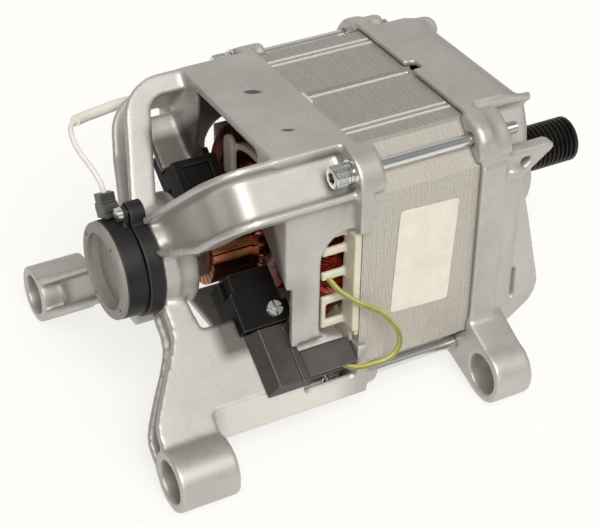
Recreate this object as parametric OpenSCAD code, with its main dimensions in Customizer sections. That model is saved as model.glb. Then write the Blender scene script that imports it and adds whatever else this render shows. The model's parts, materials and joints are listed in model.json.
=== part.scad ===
// Washing machine drive motor: brushed, with a laminated stator held between two cast frames.
// The shaft lies along X with the pulley at +X. The four foot bosses stand on Z = 0.

/* [Stator] */
// Length of the lamination stack
stack_l = 56; // [44:1:70]
// Width of the square lamination
stack_w = 112; // [108:1:118]
// Leg of the cut at each corner of the lamination
corner_cut = 15.5; // [14:0.5:18]
// Diameter of the stator bore
bore_d = 65.2; // [62:0.2:67]
// Gap between armature and stator
air_gap = 0.6; // [0.4:0.1:1]
// Spread of each coil slot either side of the horizontal
slot_spread = 27; // [26:1:28]
// Distance of the raised lines from the middle of the top face
ridge_y = 30.8; // [24:0.2:34]

/* [Tie bolts] */
// Diameter of the four tie bolts
bolt_d = 5; // [4:0.5:6]
// Diameter of the socket head
bolt_head_d = 9; // [8:0.5:10]
// Height of the socket head
bolt_head_h = 6.5; // [4:0.5:8]
// Thickness of the flat washer
washer_t = 1.2; // [0.8:0.1:2]
// Length of bolt that shows past the front boss
bolt_tip = 6.5; // [2:0.5:8]

/* [Frames] */
// Thickness of the cast lips over the stack
lip_t = 2.5; // [2:0.1:4]
// Length of the lips over the stack
lip_l = 2.8; // [2:0.1:5]
// Radius of the ear round each tie bolt
ear_r = 10; // [9:0.5:11]
// Length of the ears over the stack at the rear
rear_ear_l = 9; // [5:0.5:12]
// Length of the ears over the stack at the front
front_ear_l = 4.5; // [3:0.5:12]
// Thickness of the cast walls
wall = 3; // [2.5:0.1:4]
// Thickness of the ribs beside the arm channels
rib_t = 3; // [2.5:0.1:4]
// Depth of the rear shell behind the stack
shell_l = 32; // [30:0.5:36]
// Gap between the rear shell and the rear hub
hub_gap = 22; // [20:0.5:26]
// Depth of the front cover from the stack to its outer face
cover_l = 32; // [31:0.5:38]
// Radius on the edge of the front cover
cover_round = 14; // [8:1:18]
// Radius of the front cover where its sides turn to the front
side_round = 28; // [20:1:28]

/* [Feet] */
// Distance of the foot bores from the shaft to each side
foot_half = 70.5; // [68:0.5:76]
// Distance of the foot bores below the shaft
foot_drop = 54.5; // [52:0.5:60]
// Diameter of the foot bores
foot_bore_d = 18; // [14:0.5:19]
// Wall round the foot bores
foot_wall = 3.8; // [3:0.1:5]
// Length of the rear foot bosses
rear_foot_l = 25.5; // [20:0.5:27]
// Distance from the stack's rear end to the back of the rear feet
rear_foot_back = 93; // [90:0.5:98]
// Length of the front foot bosses
front_foot_l = 17.5; // [14:0.5:24]

/* [Bearings] */
// Bore of the rear bearing
rear_bearing_bore = 15; // [14:0.5:16]
// Outer diameter of the rear bearing
rear_bearing_od = 35; // [33:0.5:36]
// Width of the rear bearing
rear_bearing_w = 11; // [10:0.5:12]
// Bore of the front bearing
front_bearing_bore = 17; // [16:0.5:18]
// Outer diameter of the front bearing
front_bearing_od = 40; // [38:0.5:42]
// Width of the front bearing
front_bearing_w = 12; // [11:0.5:13]
// Wall of the hubs round the bearings
hub_wall = 3.8; // [3:0.1:5]

/* [Armature] */
// Diameter of the shaft in the core
shaft_d = 18; // [17.5:0.5:20]
// Diameter of the shaft under the pulley
pulley_seat_d = 14; // [12:0.5:15]
// Diameter of the shaft under the tacho magnet
magnet_seat_d = 9; // [7:0.5:10]
// Number of slots in the armature
armature_slots = 12; // [8:1:16]
// Diameter of the commutator
commutator_d = 34; // [32:0.5:36]
// Length of the commutator bars
commutator_l = 20; // [17:0.5:22]
// Number of commutator bars
commutator_bars_n = 24; // [12:2:32]
// Diameter of the fan
fan_d = 76; // [60:1:78]
// Number of fan blades
fan_blades = 11; // [7:1:15]

/* [Pulley] */
// Outer diameter of the pulley
pulley_d = 20.4; // [19:0.2:24]
// Length of the pulley
pulley_l = 31.5; // [28:0.5:36]
// Pitch of the belt grooves
groove_pitch = 2.34; // [2.2:0.02:2.6]
// Depth of the belt grooves
groove_depth = 1.6; // [1.2:0.1:1.8]
// Number of belt grooves
groove_n = 12; // [8:1:12]

/* [Brushes] */
// Width of a carbon brush along the shaft
brush_w = 12.5; // [10:0.5:13]
// Thickness of a carbon brush
brush_t = 5; // [4:0.5:6]
// Length of a carbon brush
brush_l = 12; // [9:0.5:12.5]

/* [Speed sensor] */
// Diameter of the sensor's ring housing
tacho_d = 41.2; // [40:0.2:44]
// Depth of the ring housing
tacho_l = 8.8; // [7.5:0.1:12]
// Diameter of the clamp ring on the hub's spigot
clamp_d = 44; // [42:0.5:48]
// Width of the clamp ring
clamp_w = 6.4; // [5:0.1:8]

/* [Wires] */
// Diameter of the earth wire
earth_d = 2.4; // [2:0.1:2.8]
// Diameter of the tacho lead
lead_d = 2.2; // [1.8:0.1:2.6]
// Diameter of the sleeve on the tacho lead
sleeve_d = 4.6; // [4:0.1:5]

/* [Coils] */
// Diameter of the enamelled wire bundle on the field coils
wire_d = 1.6; // [1.2:0.1:1.7]
// Step between turns of the field coils
wire_step = 2.2; // [2.15:0.05:2.3]
// Turns shown on each field coil
coil_turns = 7; // [4:1:7]
// Turns shown on the armature's rear winding
armature_turns = 14; // [8:1:14]

/* [Rating label] */
// Width of the rating label
label_w = 27.5; // [20:0.5:40]
// Height of the rating label
label_h = 48.5; // [30:0.5:60]

/* [Hidden] */
$fn = 64;

// Clearances: pressed together, and set side by side
press = 0.02;
fit = 0.3;

// Stack, bolts and the reach of the frames round them
half = stack_l / 2;
face = stack_w / 2;
bolt_c = (stack_w - corner_cut) / 2 + (bolt_d / 2 + fit) / sqrt(2);
bolt_r = bolt_c * sqrt(2);
lip = face + fit + lip_t;
foot_r = foot_bore_d / 2 + foot_wall;
foot_reach = norm([foot_half, foot_drop]);
leg_turn = atan2(foot_drop, foot_half);

// Distances along the shaft behind and in front of the stack
function rear(d) = -half - d;
function front(d) = half + d;
hub_front = rear(shell_l + hub_gap);
rear_wall_t = 2.5;
wave_t = 1.5;
hub_rear = hub_front - rear_bearing_w - wave_t - rear_wall_t;
spigot_r = 16;
spigot_l = clamp_w + 0.6;
foot_back_x = rear(rear_foot_back);
foot_front_x = foot_back_x + rear_foot_l;
front_foot_x = half - 3.8;
cover_x = front(cover_l);
front_bearing_x = cover_x + 1.5;
front_hub_x = front_bearing_x + front_bearing_w + 4;
pulley_x = front_hub_x + 3.5;
pulley_end = pulley_x + pulley_l;
ear_back_x = rear(2.8);
boss_front_x = front(11);
clamp_x = hub_rear - spigot_l;
tacho_x = clamp_x - 0.3;
lug_z = max(clamp_d / 2 + 3, tacho_d / 2 + 3.3);
cap_x = tacho_x - tacho_l - 0.1;
cap_t = 2;
dish_r = tacho_d / 2 - 6.1;
dish_deep = 3.4;

// The feet stand on Z = 0 and the part is centred lengthwise
axis_h = foot_drop + foot_r;
mid_x = -(foot_back_x + pulley_end) / 2;

// Arms: a channel from each upper ear to the hub, with its floor and rib outlines
arm_t0 = -10;
arm_t1 = 13.5;
arm_floor = bolt_r - 9.5;
rib_top = bolt_r - 0.5;
arm_lean = 16;
bend_r = 45;
bend_turn = 15;
plate_half = lip - (arm_t1 - rib_t / 2) * sqrt(2);

// Legs: a sloped shelf from the hub out to the foot bosses
shelf_t = 6;
shelf_r = foot_reach - 20;
shelf_in = 35.5;
shelf_y = shelf_r * cos(leg_turn) + shelf_t * sin(leg_turn);
shelf_z = -shelf_r * sin(leg_turn) + shelf_t * cos(leg_turn);
shelf_lip = 16.5;

// The shell's corners are round and leave a thin wall over the tie bolts
corner_round = 17;
fin_top = rib_top - 3;

// Coil former radii, from the stator bore outwards
coil_in = bore_d / 2 + 3.9;
coil_out = coil_in + 6;
wire_r = coil_out + wire_d / 2 + 0.7;
slot_out = wire_r + wire_d / 2 + 1.6;
bar_y = slot_out - 0.2;
side_y = bar_y + 2.8;
coil_near = 3;

// Commutator and brushes sit in the gap between shell and hub
bar_r = commutator_d / 2;
bar_front = rear(26);
bar_rear = bar_front - commutator_l;
brush_x = (bar_front + bar_rear) / 2 + 0.5;
holder_x0 = bar_rear + 0.5;
holder_x1 = bar_front + 1;
holder_in = bar_r + 2.5;
holder_top = 13;
holder_r = 44;
block_x0 = holder_x0 + 1.6;
block_x1 = holder_x1 - 0.3;
block_end = shelf_r + 2.5;
socket_x1 = rear(2.4);
socket_in = shelf_r - 11.5;
socket_out = shelf_r - 0.5;
socket_t0 = 0.6;

// Routes, seen from the middle of the stack, with Y to the far side and Z up
earth_route = [
    [-39, -46.5, 2.5], [-38, -49, 0.5], [-35.5, -52.5, -3], [-31, -57.8, -6], [-26, -60.5, -9],
    [-21.5, -62, -12], [-17.5, -63, -17], [-14.2, -63.5, -22.5], [-13.2, -64, -28], [-15, -64, -32.5],
    [-19, -64, -35], [-24, -63, -36], [-28.5, -61.5, -37], [-32, -59.5, -37.5], [-35, -57, -37],
    [-36.5, -55, -36]
];
lead_route = [
    [-107.5, 13.2, 27], [-108, 15.5, 31.5], [-109.5, 20, 36], [-111.5, 27, 40.5],
    [-111.5, 34, 43.5], [-109.5, 40, 44.8], [-106, 44, 44.5], [-103, 46, 43.8]
];
sleeve_route = [
    [-106, 44, 44.5], [-99.5, 49, 42.4], [-90.5, 54, 40.2], [-82, 58, 38.6], [-75.5, 60, 37.6],
    [-68, 61, 36], [-62, 61.2, 33.5], [-58, 61, 29.5], [-56.5, 60.8, 26]
];
plug_at = [-57, side_y + 11.8, 29];
plug_stud_r = 1.6;
plug_stud_at = [-52, 22];

function unit(v) = v / norm(v);
function arc(c, r, a0, a1, n = 10) = [for (i = [0:n])
    let (a = a0 + (a1 - a0) * i / n) c + r * [cos(a), sin(a)]];
function flip(list) = [for (i = [len(list) - 1:-1:0]) list[i]];

// A smooth curve through the route's points, with n steps between each pair
function curve(p, n) = concat(
    [for (i = [0:len(p) - 2]) for (k = [0:n - 1]) let (
        a = p[max(i - 1, 0)], b = p[i], c = p[i + 1], d = p[min(i + 2, len(p) - 1)], s = k / n)
        0.5 * (2 * b + (c - a) * s + (2 * a - 5 * b + 4 * c - d) * s ^ 2 + (3 * b - a - 3 * c + d) * s ^ 3)],
    [p[len(p) - 1]]);

// A closed tube along a path; side_of gives one vector across the path at each point
module tube(path, r, sides, side_of) {
    n = len(path);
    points = [for (i = [0:n - 1]) let (
        t = unit(path[min(i + 1, n - 1)] - path[max(i - 1, 0)]),
        u = unit(cross(t, side_of[i])),
        v = cross(t, u))
        for (k = [0:sides - 1]) path[i] + r * (cos(360 * k / sides) * u + sin(360 * k / sides) * v)];
    walls = [for (i = [0:n - 2]) for (k = [0:sides - 1]) let (
        a = i * sides + k, b = i * sides + (k + 1) % sides)
        each [[a, b + sides, b], [a, a + sides, b + sides]]];
    first = [for (k = [1:sides - 2]) [0, k, k + 1]];
    last = [for (k = [1:sides - 2]) let (o = (n - 1) * sides) [o, o + k + 1, o + k]];
    polyhedron(points, concat(walls, first, last));
}

// Least distance between points of a path that lie more than half a turn apart
function least_gap(path, d, apart) = min([for (i = [0:len(path) - 1]) for (j = [i + apart:1:len(path) - 1])
    norm(path[i] - path[j])]) - d;

module placed() translate([mid_x, 0, axis_h]) children();
module both_sides() {
    children();
    mirror([0, 1, 0]) children();
}
module four_corners() both_sides() {
    children();
    mirror([0, 0, 1]) children();
}
module near_side() mirror([0, 1, 0]) children();
module rod(x0, x1, r, y = 0, z = 0) translate([x0, y, z]) rotate([0, 90, 0]) cylinder(r = r, h = x1 - x0);
module turned(x) translate([x, 0, 0]) rotate([0, 90, 0]) rotate_extrude() children();
module along_x(x0, x1) translate([x0, 0, 0]) rotate([90, 0, 90]) linear_extrude(x1 - x0) children();
// A plate in a plane through the shaft: its outline is along the shaft and outwards
module leaf(turn, t0, t1) rotate([turn, 0, 0]) translate([0, 0, t0]) linear_extrude(t1 - t0) children();
module leaf_box(turn, x, r, t) leaf(turn, t[0], t[1])
    translate([x[0], r[0]]) square([x[1] - x[0], r[1] - r[0]]);

module round_square(h, r) {
    square([2 * h, 2 * (h - r)], center = true);
    square([2 * (h - r), 2 * h], center = true);
    for (y = [-1, 1]) for (z = [-1, 1]) translate([y * (h - r), z * (h - r)]) circle(r);
}

// The lamination outline, grown by a clearance
module stack_outline(g = 0) {
    f = face + g;
    c = face - corner_cut + g * tan(22.5);
    polygon([[f, -c], [f, c], [c, f], [-c, f], [-f, c], [-f, -c], [-c, -f], [c, -f]]);
}
module stack_space() along_x(-half, half) stack_outline(fit);

// A piece of a ring, less than half a turn long
module sector(r0, r1, a0, a1) intersection() {
    difference() {
        circle(r1);
        circle(r0);
    }
    polygon(concat([[0, 0]], arc([0, 0], 2 * r1, a0, a1, 4)));
}

module ear(x0, x1) intersection() {
    rod(x0, x1, ear_r, bolt_c, bolt_c);
    along_x(x0 - 1, x1 + 1) round_square(lip, corner_round);
}

// Rear frame
function elbow(x, r, top, start) = let (c = [x, top - r], e = 90 - arm_lean)
    concat([[start, top]], arc(c, r, 90, 90 + e, 8),
        [c + r * [cos(90 + e), sin(90 + e)] + (top - r + r * sin(90 + e) - 14) * [-tan(arm_lean), -1]]);
module arm() {
    start = ear_back_x + 1;
    inner = elbow(rear(42.5), 8, arm_floor, start);
    floor_top = elbow(rear(43), 8 + wall, arm_floor + wall, start);
    ribs = elbow(rear(42), 20.5, rib_top, start);
    outline = concat(ribs, flip(inner));
    leaf(45, arm_t1 - rib_t, arm_t1) polygon(outline);
    leaf(45, arm_t0, arm_t0 + rib_t) difference() {
        polygon(outline);
        translate([foot_back_x, 0]) square([half - foot_back_x, bend_r]);
    }
    bent() linear_extrude(rib_t) intersection() {
        translate([0, -bend_r]) polygon(outline);
        translate([foot_back_x, -bend_r]) square([half - foot_back_x, bend_r + 0.4]);
    }
    difference() {
        leaf(45, arm_t0 + 1, arm_t1 - 1) polygon(concat(floor_top, flip(inner)));
        bent() translate([foot_back_x, -bend_r, -20]) cube([half - foot_back_x, bend_r, 20.5]);
    }
}
// Towards the hub the lower rib of an arm turns in
module bent() rotate([45, 0, 0]) translate([0, bend_r, arm_t0]) rotate([-bend_turn, 0, 0]) children();

// The rear edge of a leg, from the hub out to the foot: share of the way back, and of the reach
leg_sweep = [
    [0.04, 0.19], [0.09, 0.27], [0.095, 0.35], [0.13, 0.4], [0.2, 0.44], [0.36, 0.51], [0.53, 0.575],
    [0.7, 0.643], [0.86, 0.712], [0.95, 0.76], [0.99, 0.8], [1, 0.85], [1, 0.975]
];
function leg_edge(d, g) = [for (p = leg_sweep)
    [hub_rear + (foot_back_x + 0.5 - hub_rear) * p[0] + d + g * p[0], foot_reach * p[1]]];
// How far a leg's web lies behind that edge at the hub, and further still at the foot
leg_in = 3;
leg_deep = 7;
// A foot boss stands a little proud of the wall it grows from
leg_wall_x = foot_front_x - 0.4;
module leg() {
    leaf(-leg_turn, shelf_t - wall - 0.5, shelf_t) polygon(concat(leg_edge(0, 0), [
        [foot_front_x, foot_reach - 4], [foot_front_x, shelf_r], [rear(-4), shelf_r], [rear(-4), 48],
        [rear(23), 48], [rear(23), shelf_in], [hub_front - 5, shelf_in], [hub_front - 7, 17]
    ]));
    leaf(-leg_turn, shelf_t - 18, shelf_t)
        polygon(concat(leg_edge(leg_in, leg_deep), flip(leg_edge(leg_in + wall, leg_deep))));
    leaf(-leg_turn, shelf_t - 18, shelf_t - 18 + wall)
        polygon(concat(leg_edge(0, 0), flip(leg_edge(leg_in + wall, leg_deep))));
    leaf_box(-leg_turn, [leg_wall_x - wall, leg_wall_x], [shelf_r - 10, foot_reach - 4],
        [shelf_t - 18, shelf_t]);
    translate([leg_wall_x - wall, shelf_y - wall, shelf_z - shelf_lip])
        cube([rear(-4) - leg_wall_x + wall, wall, shelf_lip]);
    rod(foot_back_x, foot_front_x, foot_r, foot_half, -foot_drop);
}

// The outline of a side window along the shaft and upwards, grown by g
module window_outline(g, x1) {
    r = 13 + g;
    x0 = rear(17) - g;
    z0 = shelf_z + 8.6 - g;
    z1 = 26 + g;
    translate([x0 + r, z0]) square([x1 - x0 - r, z1 - z0]);
    translate([x0, z0 + r]) square([r + 1, z1 - z0 - 2 * r]);
    for (z = [z0 + r, z1 - r]) translate([x0 + r, z]) circle(r);
}
module side_window() translate([0, face + 6, 0]) rotate([90, 0, 0]) linear_extrude(20)
    window_outline(0, rear(-lip_l - 1));
module window_rim() translate([0, side_y + wall + 1.2, 0]) rotate([90, 0, 0]) linear_extrude(2)
    window_outline(3.2, rear(2));

module rear_shell() {
    along_x(ear_back_x, rear(-lip_l)) difference() {
        round_square(lip, corner_round);
        square(2 * (face - 4), center = true);
    }
    for (z = [lip - wall - 0.8, -lip]) translate([rear(shell_l), -plate_half, z])
        cube([shell_l + lip_l, 2 * plate_half, wall + 0.8]);
    both_sides() {
        translate([rear(shell_l - wall), side_y, -34]) cube([shell_l - wall - 2, wall, 34 + 38]);
        window_rim();
        along_x(rear(shell_l), rear(shell_l - wall))
            polygon([[side_y + wall, 4], [side_y + wall, 38], [37, face - 3], [37, face], [26, face], [30, 22]]);
    }
}

// The pad that the far brush holder seats on, half a turn from the near shelf
module holder_pad() leaf_box(leg_turn, [holder_x0 - 1, holder_x1 - 1], [shelf_in, 60],
    [-shelf_t, -shelf_t + wall + 0.5]);

// Room round the spigot for the sensor's clamp ring and its lug
module clamp_space() difference() {
    union() {
        rod(clamp_x - 1, hub_rear - 0.2, clamp_d / 2 + 0.5);
        translate([clamp_x - 1, -5.6, 0]) cube([spigot_l + 0.8, 11.2, lug_z + 5]);
    }
    rod(clamp_x - 2, hub_rear + 1, spigot_r);
}

module rear_casting() difference() {
    union() {
        rear_shell();
        both_sides() arm();
        both_sides() leg();
        holder_pad();
        four_corners() ear(ear_back_x, rear(-rear_ear_l));
        rod(hub_rear, hub_front, rear_bearing_od / 2 + hub_wall);
        rod(hub_rear + 4, hub_rear + 6, rear_bearing_od / 2 + hub_wall + 0.8);
        intersection() {
            rod(hub_front - 2.5, hub_front, hub_half - 0.4);
            translate([hub_front - 3, -hub_half, 15]) cube([4, 2 * hub_half, hub_half]);
        }
        rod(hub_rear - spigot_l, hub_rear, spigot_r);
        translate([clamp_x, -4, -clamp_d / 2 - 7]) cube([spigot_l + 4, 8, 6.4]);
        translate([hub_rear, -4, -clamp_d / 2 - 7]) cube([4, 8, 12]);
    }
    stack_space();
    along_x(rear(2.1), rear(-1)) flange_outline(0.4);
    clamp_space();
    both_sides() side_window();
    rod(hub_rear + rear_wall_t, hub_front + 1, rear_bearing_od / 2 + press);
    rod(hub_rear - 20, hub_front, rear_bearing_bore / 2 + 3);
    rod(tacho_x - 40, clamp_x, tacho_d / 2 + 12);
    both_sides() rod(foot_back_x - 1, foot_front_x + 1, foot_bore_d / 2, foot_half, -foot_drop);
    four_corners() rod(rear(40), half, bolt_d / 2 + 0.1, bolt_c, bolt_c);
    four_corners() rod(ear_back_x - 16, ear_back_x, bolt_head_d / 2 + 1.2, bolt_c, bolt_c);
    near_side() {
        leaf_box(-leg_turn, [block_x1 - 0.6, socket_x1 + 0.6], [socket_in - 0.6, shelf_r + 20],
            [socket_t0 - 0.5, 20]);
        leaf_box(-leg_turn, [block_x1 - 0.6, socket_x1 + 0.6], [socket_in - 2.6, shelf_r + 20],
            [shelf_t + 0.12, 20]);
        leaf_box(-leg_turn, [block_x0 - fit, block_x1 + fit], [holder_r, block_end + fit],
            [shelf_t + 0.1, 12 + fit]);
    }
    brush_pair() holder_hole(screw_core + press);
    rotate([180, 0, 0]) near_side() {
        holder_space(0.2);
        rotate([-leg_turn, 0, 0]) translate([screw_x, screw_r, holder_top - 1]) cylinder(r = 3.6, h = 8);
    }
    translate([plug_stud_at[0], side_y - 3, plug_stud_at[1]]) rotate([-90, 0, 0])
        cylinder(r = plug_stud_r + press, h = 8);
}

// The casting is one piece of metal, kept as its ring, walls, hub, arms and legs
ring_x = rear(5);
hub_half = rear_bearing_od / 2 + hub_wall + 4.4;
module hub_zone() translate([clamp_x - 2, -hub_half, -hub_half - 7])
    cube([hub_front + 3 - clamp_x, 2 * hub_half, 2 * hub_half + 7]);
module arm_zone() leaf_box(45, [foot_back_x - 2, ring_x + 1], [0, 3 * lip], [arm_t0 - 5, arm_t1 + 1]);
module leg_zone() {
    leaf_box(-leg_turn, [foot_back_x - 2, ring_x + 1], [0, 3 * lip], [shelf_t - 19, shelf_t + fit]);
    leaf_box(-leg_turn, [ring_x, rear(2)], [shelf_in, socket_in - fit], [shelf_t - wall - 1, shelf_t + fit]);
    rod(foot_back_x - 2, foot_front_x + 2, foot_r + 1, foot_half, -foot_drop);
}
module cast_part() color("silver") placed() intersection() {
    rear_casting();
    children();
}
module rear_frame() cast_part() difference() {
    translate([ring_x, -2 * lip, -2 * lip]) cube(4 * lip);
    both_sides() {
        arm_zone();
        leg_zone();
    }
}
module rear_hub() cast_part() hub_zone();
module arm_part() cast_part() difference() {
    children();
    hub_zone();
}
module far_arm() arm_part() arm_zone();
module near_arm() arm_part() near_side() arm_zone();
module far_leg() arm_part() leg_zone();
module near_leg() arm_part() near_side() leg_zone();
module rear_walls() cast_part() difference() {
    translate([foot_back_x - 2, -2 * lip, -2 * lip]) cube([ring_x - foot_back_x + 2, 4 * lip, 4 * lip]);
    hub_zone();
    both_sides() arm_zone();
    both_sides() leg_zone();
}

// Front frame
side_step = 1.2;
function cover_edge(h, x1, r) = concat([[half - lip_l, -h]], arc([x1 - r, r - h], r, -90, 0),
    arc([x1 - r, h - r], r, 0, 90), [[half - lip_l, h]]);
module cover_shape(inset) {
    x1 = cover_x - inset;
    intersection() {
        rotate([90, 0, 0]) linear_extrude(4 * lip, center = true)
            polygon(cover_edge(lip - inset, x1, cover_round - inset));
        linear_extrude(4 * lip, center = true)
            polygon(cover_edge(lip - side_step - inset, x1, side_round - inset));
        along_x(half - lip_l - 1, cover_x + 1) children();
    }
}
module fins() {
    nose = [front(28.5), fin_top - 5.5];
    leaf(45, arm_t1 - rib_t, arm_t1) polygon(concat([[front(2), arm_floor - 4], [front(2), fin_top]],
        arc(nose, 5.5, 90, -50, 8), [[front(20), arm_floor - 6]]));
}
// A horn at each upper side, standing forward on a strut
module horn() difference() {
    translate([0, lip - 3.3, 0]) rotate([90, 0, 0]) linear_extrude(6) polygon(concat(
        [[front(4), 29.5], [front(4), 41.6]], arc([front(32), 39.6], 2, 90, -50, 6), [[front(21.5), 29.5]]));
    horn_hole();
}
module horn_hole() translate([0, lip, 0]) rotate([90, 0, 0]) linear_extrude(16)
    polygon([[front(17.8), 37.2], [front(25.5), 37.6], [front(18.4), 32.2]]);
// A brace at each side, from the foot up along the front of the cover
module brace() translate([0, 50, 0]) rotate([90, 0, 0]) linear_extrude(5) polygon([
    [front(19), 22], [front(24.4), 22.7], [front(29.8), 1.4], [front(35), -20.8], [front(36.8), -28],
    [front(37.4), -32], [front(36.6), -37.1], [front(33.9), -41.6], [front(22.2), -50], [front(10), -50],
    [front(10), -28], [front(19), -22]
]);
function foot_edge(a) = [foot_half + foot_r * cos(a), -foot_drop + foot_r * sin(a)];
module front_leg() {
    along_x(front_foot_x, front_foot_x + front_foot_l)
        polygon([[face - 4, -32], foot_edge(45), [foot_half, -foot_drop], foot_edge(-110), [face - 12, -lip]]);
    rod(front_foot_x, front_foot_x + front_foot_l, foot_r, foot_half, -foot_drop);
}

module front_frame() color("gainsboro") placed() difference() {
    union() {
        difference() {
            cover_shape(0) round_square(lip, corner_round - 3);
            cover_shape(wall) intersection() {
                square(2 * (lip - wall), center = true);
                rotate(45) square(2 * (arm_floor - wall), center = true);
            }
            four_corners() {
                leaf_box(45, [boss_front_x, cover_x + 9], [arm_floor, bolt_r + 30],
                    [arm_t0 + rib_t, arm_t1 - rib_t]);
                leaf_box(45, [front(3), cover_x + 9], [fin_top, bolt_r + 30], [arm_t0 - 1, arm_t1 + 1]);
            }
        }
        four_corners() fins();
        four_corners() ear(half - front_ear_l, boss_front_x);
        both_sides() {
            front_leg();
            brace();
            horn();
            translate([half - lip_l, lip - wall - 1, -40]) cube([lip_l + 9, wall + 1, 80]);
            translate([front(11.5), lip - 8, 29.8]) cube([7.5, 7.6, 4.8]);
        }
        rod(cover_x - wall, front_hub_x, front_bearing_od / 2 + hub_wall);
    }
    stack_space();
    rod(cover_x - wall - 1, front_bearing_x + front_bearing_w + press, front_bearing_od / 2 + press);
    rod(cover_x, front_hub_x + 1, front_bearing_bore / 2 + 3);
    translate([half - lip_l - 1, -3.2, face - 1]) cube([6, 6.4, 6]);
    both_sides() {
        rod(front_foot_x - 1, front_foot_x + front_foot_l + 1, foot_bore_d / 2, foot_half, -foot_drop);
        horn_hole();
        translate([front(9), lip - side_step - 1.8, 34.8]) cube([8.6, 6, 2.4]);
        translate([front(22.4), 46, -37]) cube([2.4, 12, 16]);
    }
    four_corners() rod(0, boss_front_x + 1, bolt_d / 2 + 0.1, bolt_c, bolt_c);
    four_corners() rod(boss_front_x, boss_front_x + bolt_tip + 1, bolt_d / 2 + 1, bolt_c, bolt_c);
}

// Stator
module coil_slot(g = 0) sector(coil_in - 0.8 - g, slot_out + g, -slot_spread, slot_spread);
ridge_gap = 1.65;
module stator_core() color("darkgray") placed() {
    along_x(-half, half) difference() {
        stack_outline();
        circle(bore_d / 2);
        for (a = [0, 180]) rotate(a) {
            coil_slot();
            translate([bore_d / 2 - 3, -7]) square([8, 14]);
        }
        for (z = [face, -face]) translate([0, z]) square([6, 1.6], center = true);
    }
    along_x(rear(-lip_l - fit), front(-lip_l - fit)) for (z = [face, -face]) for (y = [ridge_y, -ridge_y])
        for (d = [ridge_gap, -ridge_gap]) translate([y + d, z]) square([0.9, 1.2], center = true);
}

module flange_outline(g = 0) {
    intersection() {
        square(2 * (face - 4.5 + g), center = true);
        rotate(45) square(2 * (bolt_r - ear_r - 3 + g), center = true);
    }
    square([2 * (face - 0.6 + g), 2 * (25.5 + g)], center = true);
}
module insulator_flange() difference() {
    flange_outline();
    circle(bore_d / 2 + 1);
    for (a = [0, 180]) rotate(a) coil_slot(-0.3);
}
bar_z = [-22.5, -11, 1, 12.5, 20.5];
collar_l = 19.4;
peg_y = 18;
peg_z = 32;
module rear_insulator() color("cornsilk") placed() {
    along_x(rear(1.7), rear(0.1)) insulator_flange();
    both_sides() {
        for (z = bar_z) translate([rear(13.5), bar_y, z]) cube([12.2, 2.2, 3.6]);
        translate([rear(13.5), bar_y, bar_z[0]]) cube([2.2, 2.2, 15.1]);
        translate([rear(13.5), bar_y, bar_z[3]]) cube([2.2, 2.2, 11.6]);
        translate([rear(3.2), bar_y, bar_z[0]]) cube([3.1, face - fit - bar_y, 46.6]);
    }
    for (a = [40, 220]) along_x(rear(collar_l), rear(1.6)) sector(bore_d / 2 + 1, coil_in - fit, a, a + 100);
    along_x(rear(collar_l + 2.6), rear(collar_l - 0.1)) {
        translate([peg_y - 4, peg_z - 15]) square([8, 15]);
        translate([peg_y, peg_z]) circle(4);
    }
}
module front_insulator() color("cornsilk") placed() {
    along_x(front(0.1), front(1.7)) intersection() {
        insulator_flange();
        square(2 * (lip - side_step - wall - 0.4), center = true);
    }
    both_sides() for (z = bar_z) translate([front(1.5), bar_y, z]) cube([12, 2.2, 3.6]);
}

// Field coils: a plain saddle of inner turns, with the outer turns wound round it as one wire
end_x0 = 3;
end_x1 = end_x0 + coil_turns * wire_step;
module coil_core() color("brown") {
    for (x = [rear(end_x1), front(end_x0)]) along_x(x, x + end_x1 - end_x0)
        sector(coil_in, coil_out, coil_near, 180 - coil_near);
    for (a = [coil_near, 180 - coil_near - 20]) along_x(rear(end_x0 + 0.1), front(end_x0 + 0.1))
        sector(coil_in, coil_out, a, a + 20);
}
module upper_coil_core() placed() coil_core();
module lower_coil_core() placed() mirror([0, 0, 1]) coil_core();

coil_rings = 24;
function coil_pt(i) = let (
    j = i % coil_rings,
    grow = wire_step * i / coil_rings,
    x = half + end_x0 + wire_d / 2 + grow,
    s = wire_r * PI / 2 - (coil_turns + 0.6) * wire_step + grow,
    q = j < 10 ? [-x, s * 0.95 * (j / 4.5 - 1)] : j < 12 ? [x * (-0.8 + 1.6 * (j - 10)), s]
        : j < 22 ? [x, s * 0.95 * (1 - (j - 12) / 4.5)] : [x * (0.8 - 1.6 * (j - 22)), -s],
    a = 90 - q[1] / wire_r * 180 / PI)
    [q[0], wire_r * cos(a), wire_r * sin(a)];
coil_path = [for (i = [0:coil_turns * coil_rings - 1]) coil_pt(i)];
module field_coil() {
    echo(str("field coil least gap ", least_gap(coil_path, wire_d, 12)));
    color("firebrick") tube(coil_path, wire_d / 2, 6, [for (p = coil_path) [0, p[1], p[2]]]);
}
module upper_field_coil() placed() field_coil();
module lower_field_coil() placed() rotate([180, 0, 0]) field_coil();

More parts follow.
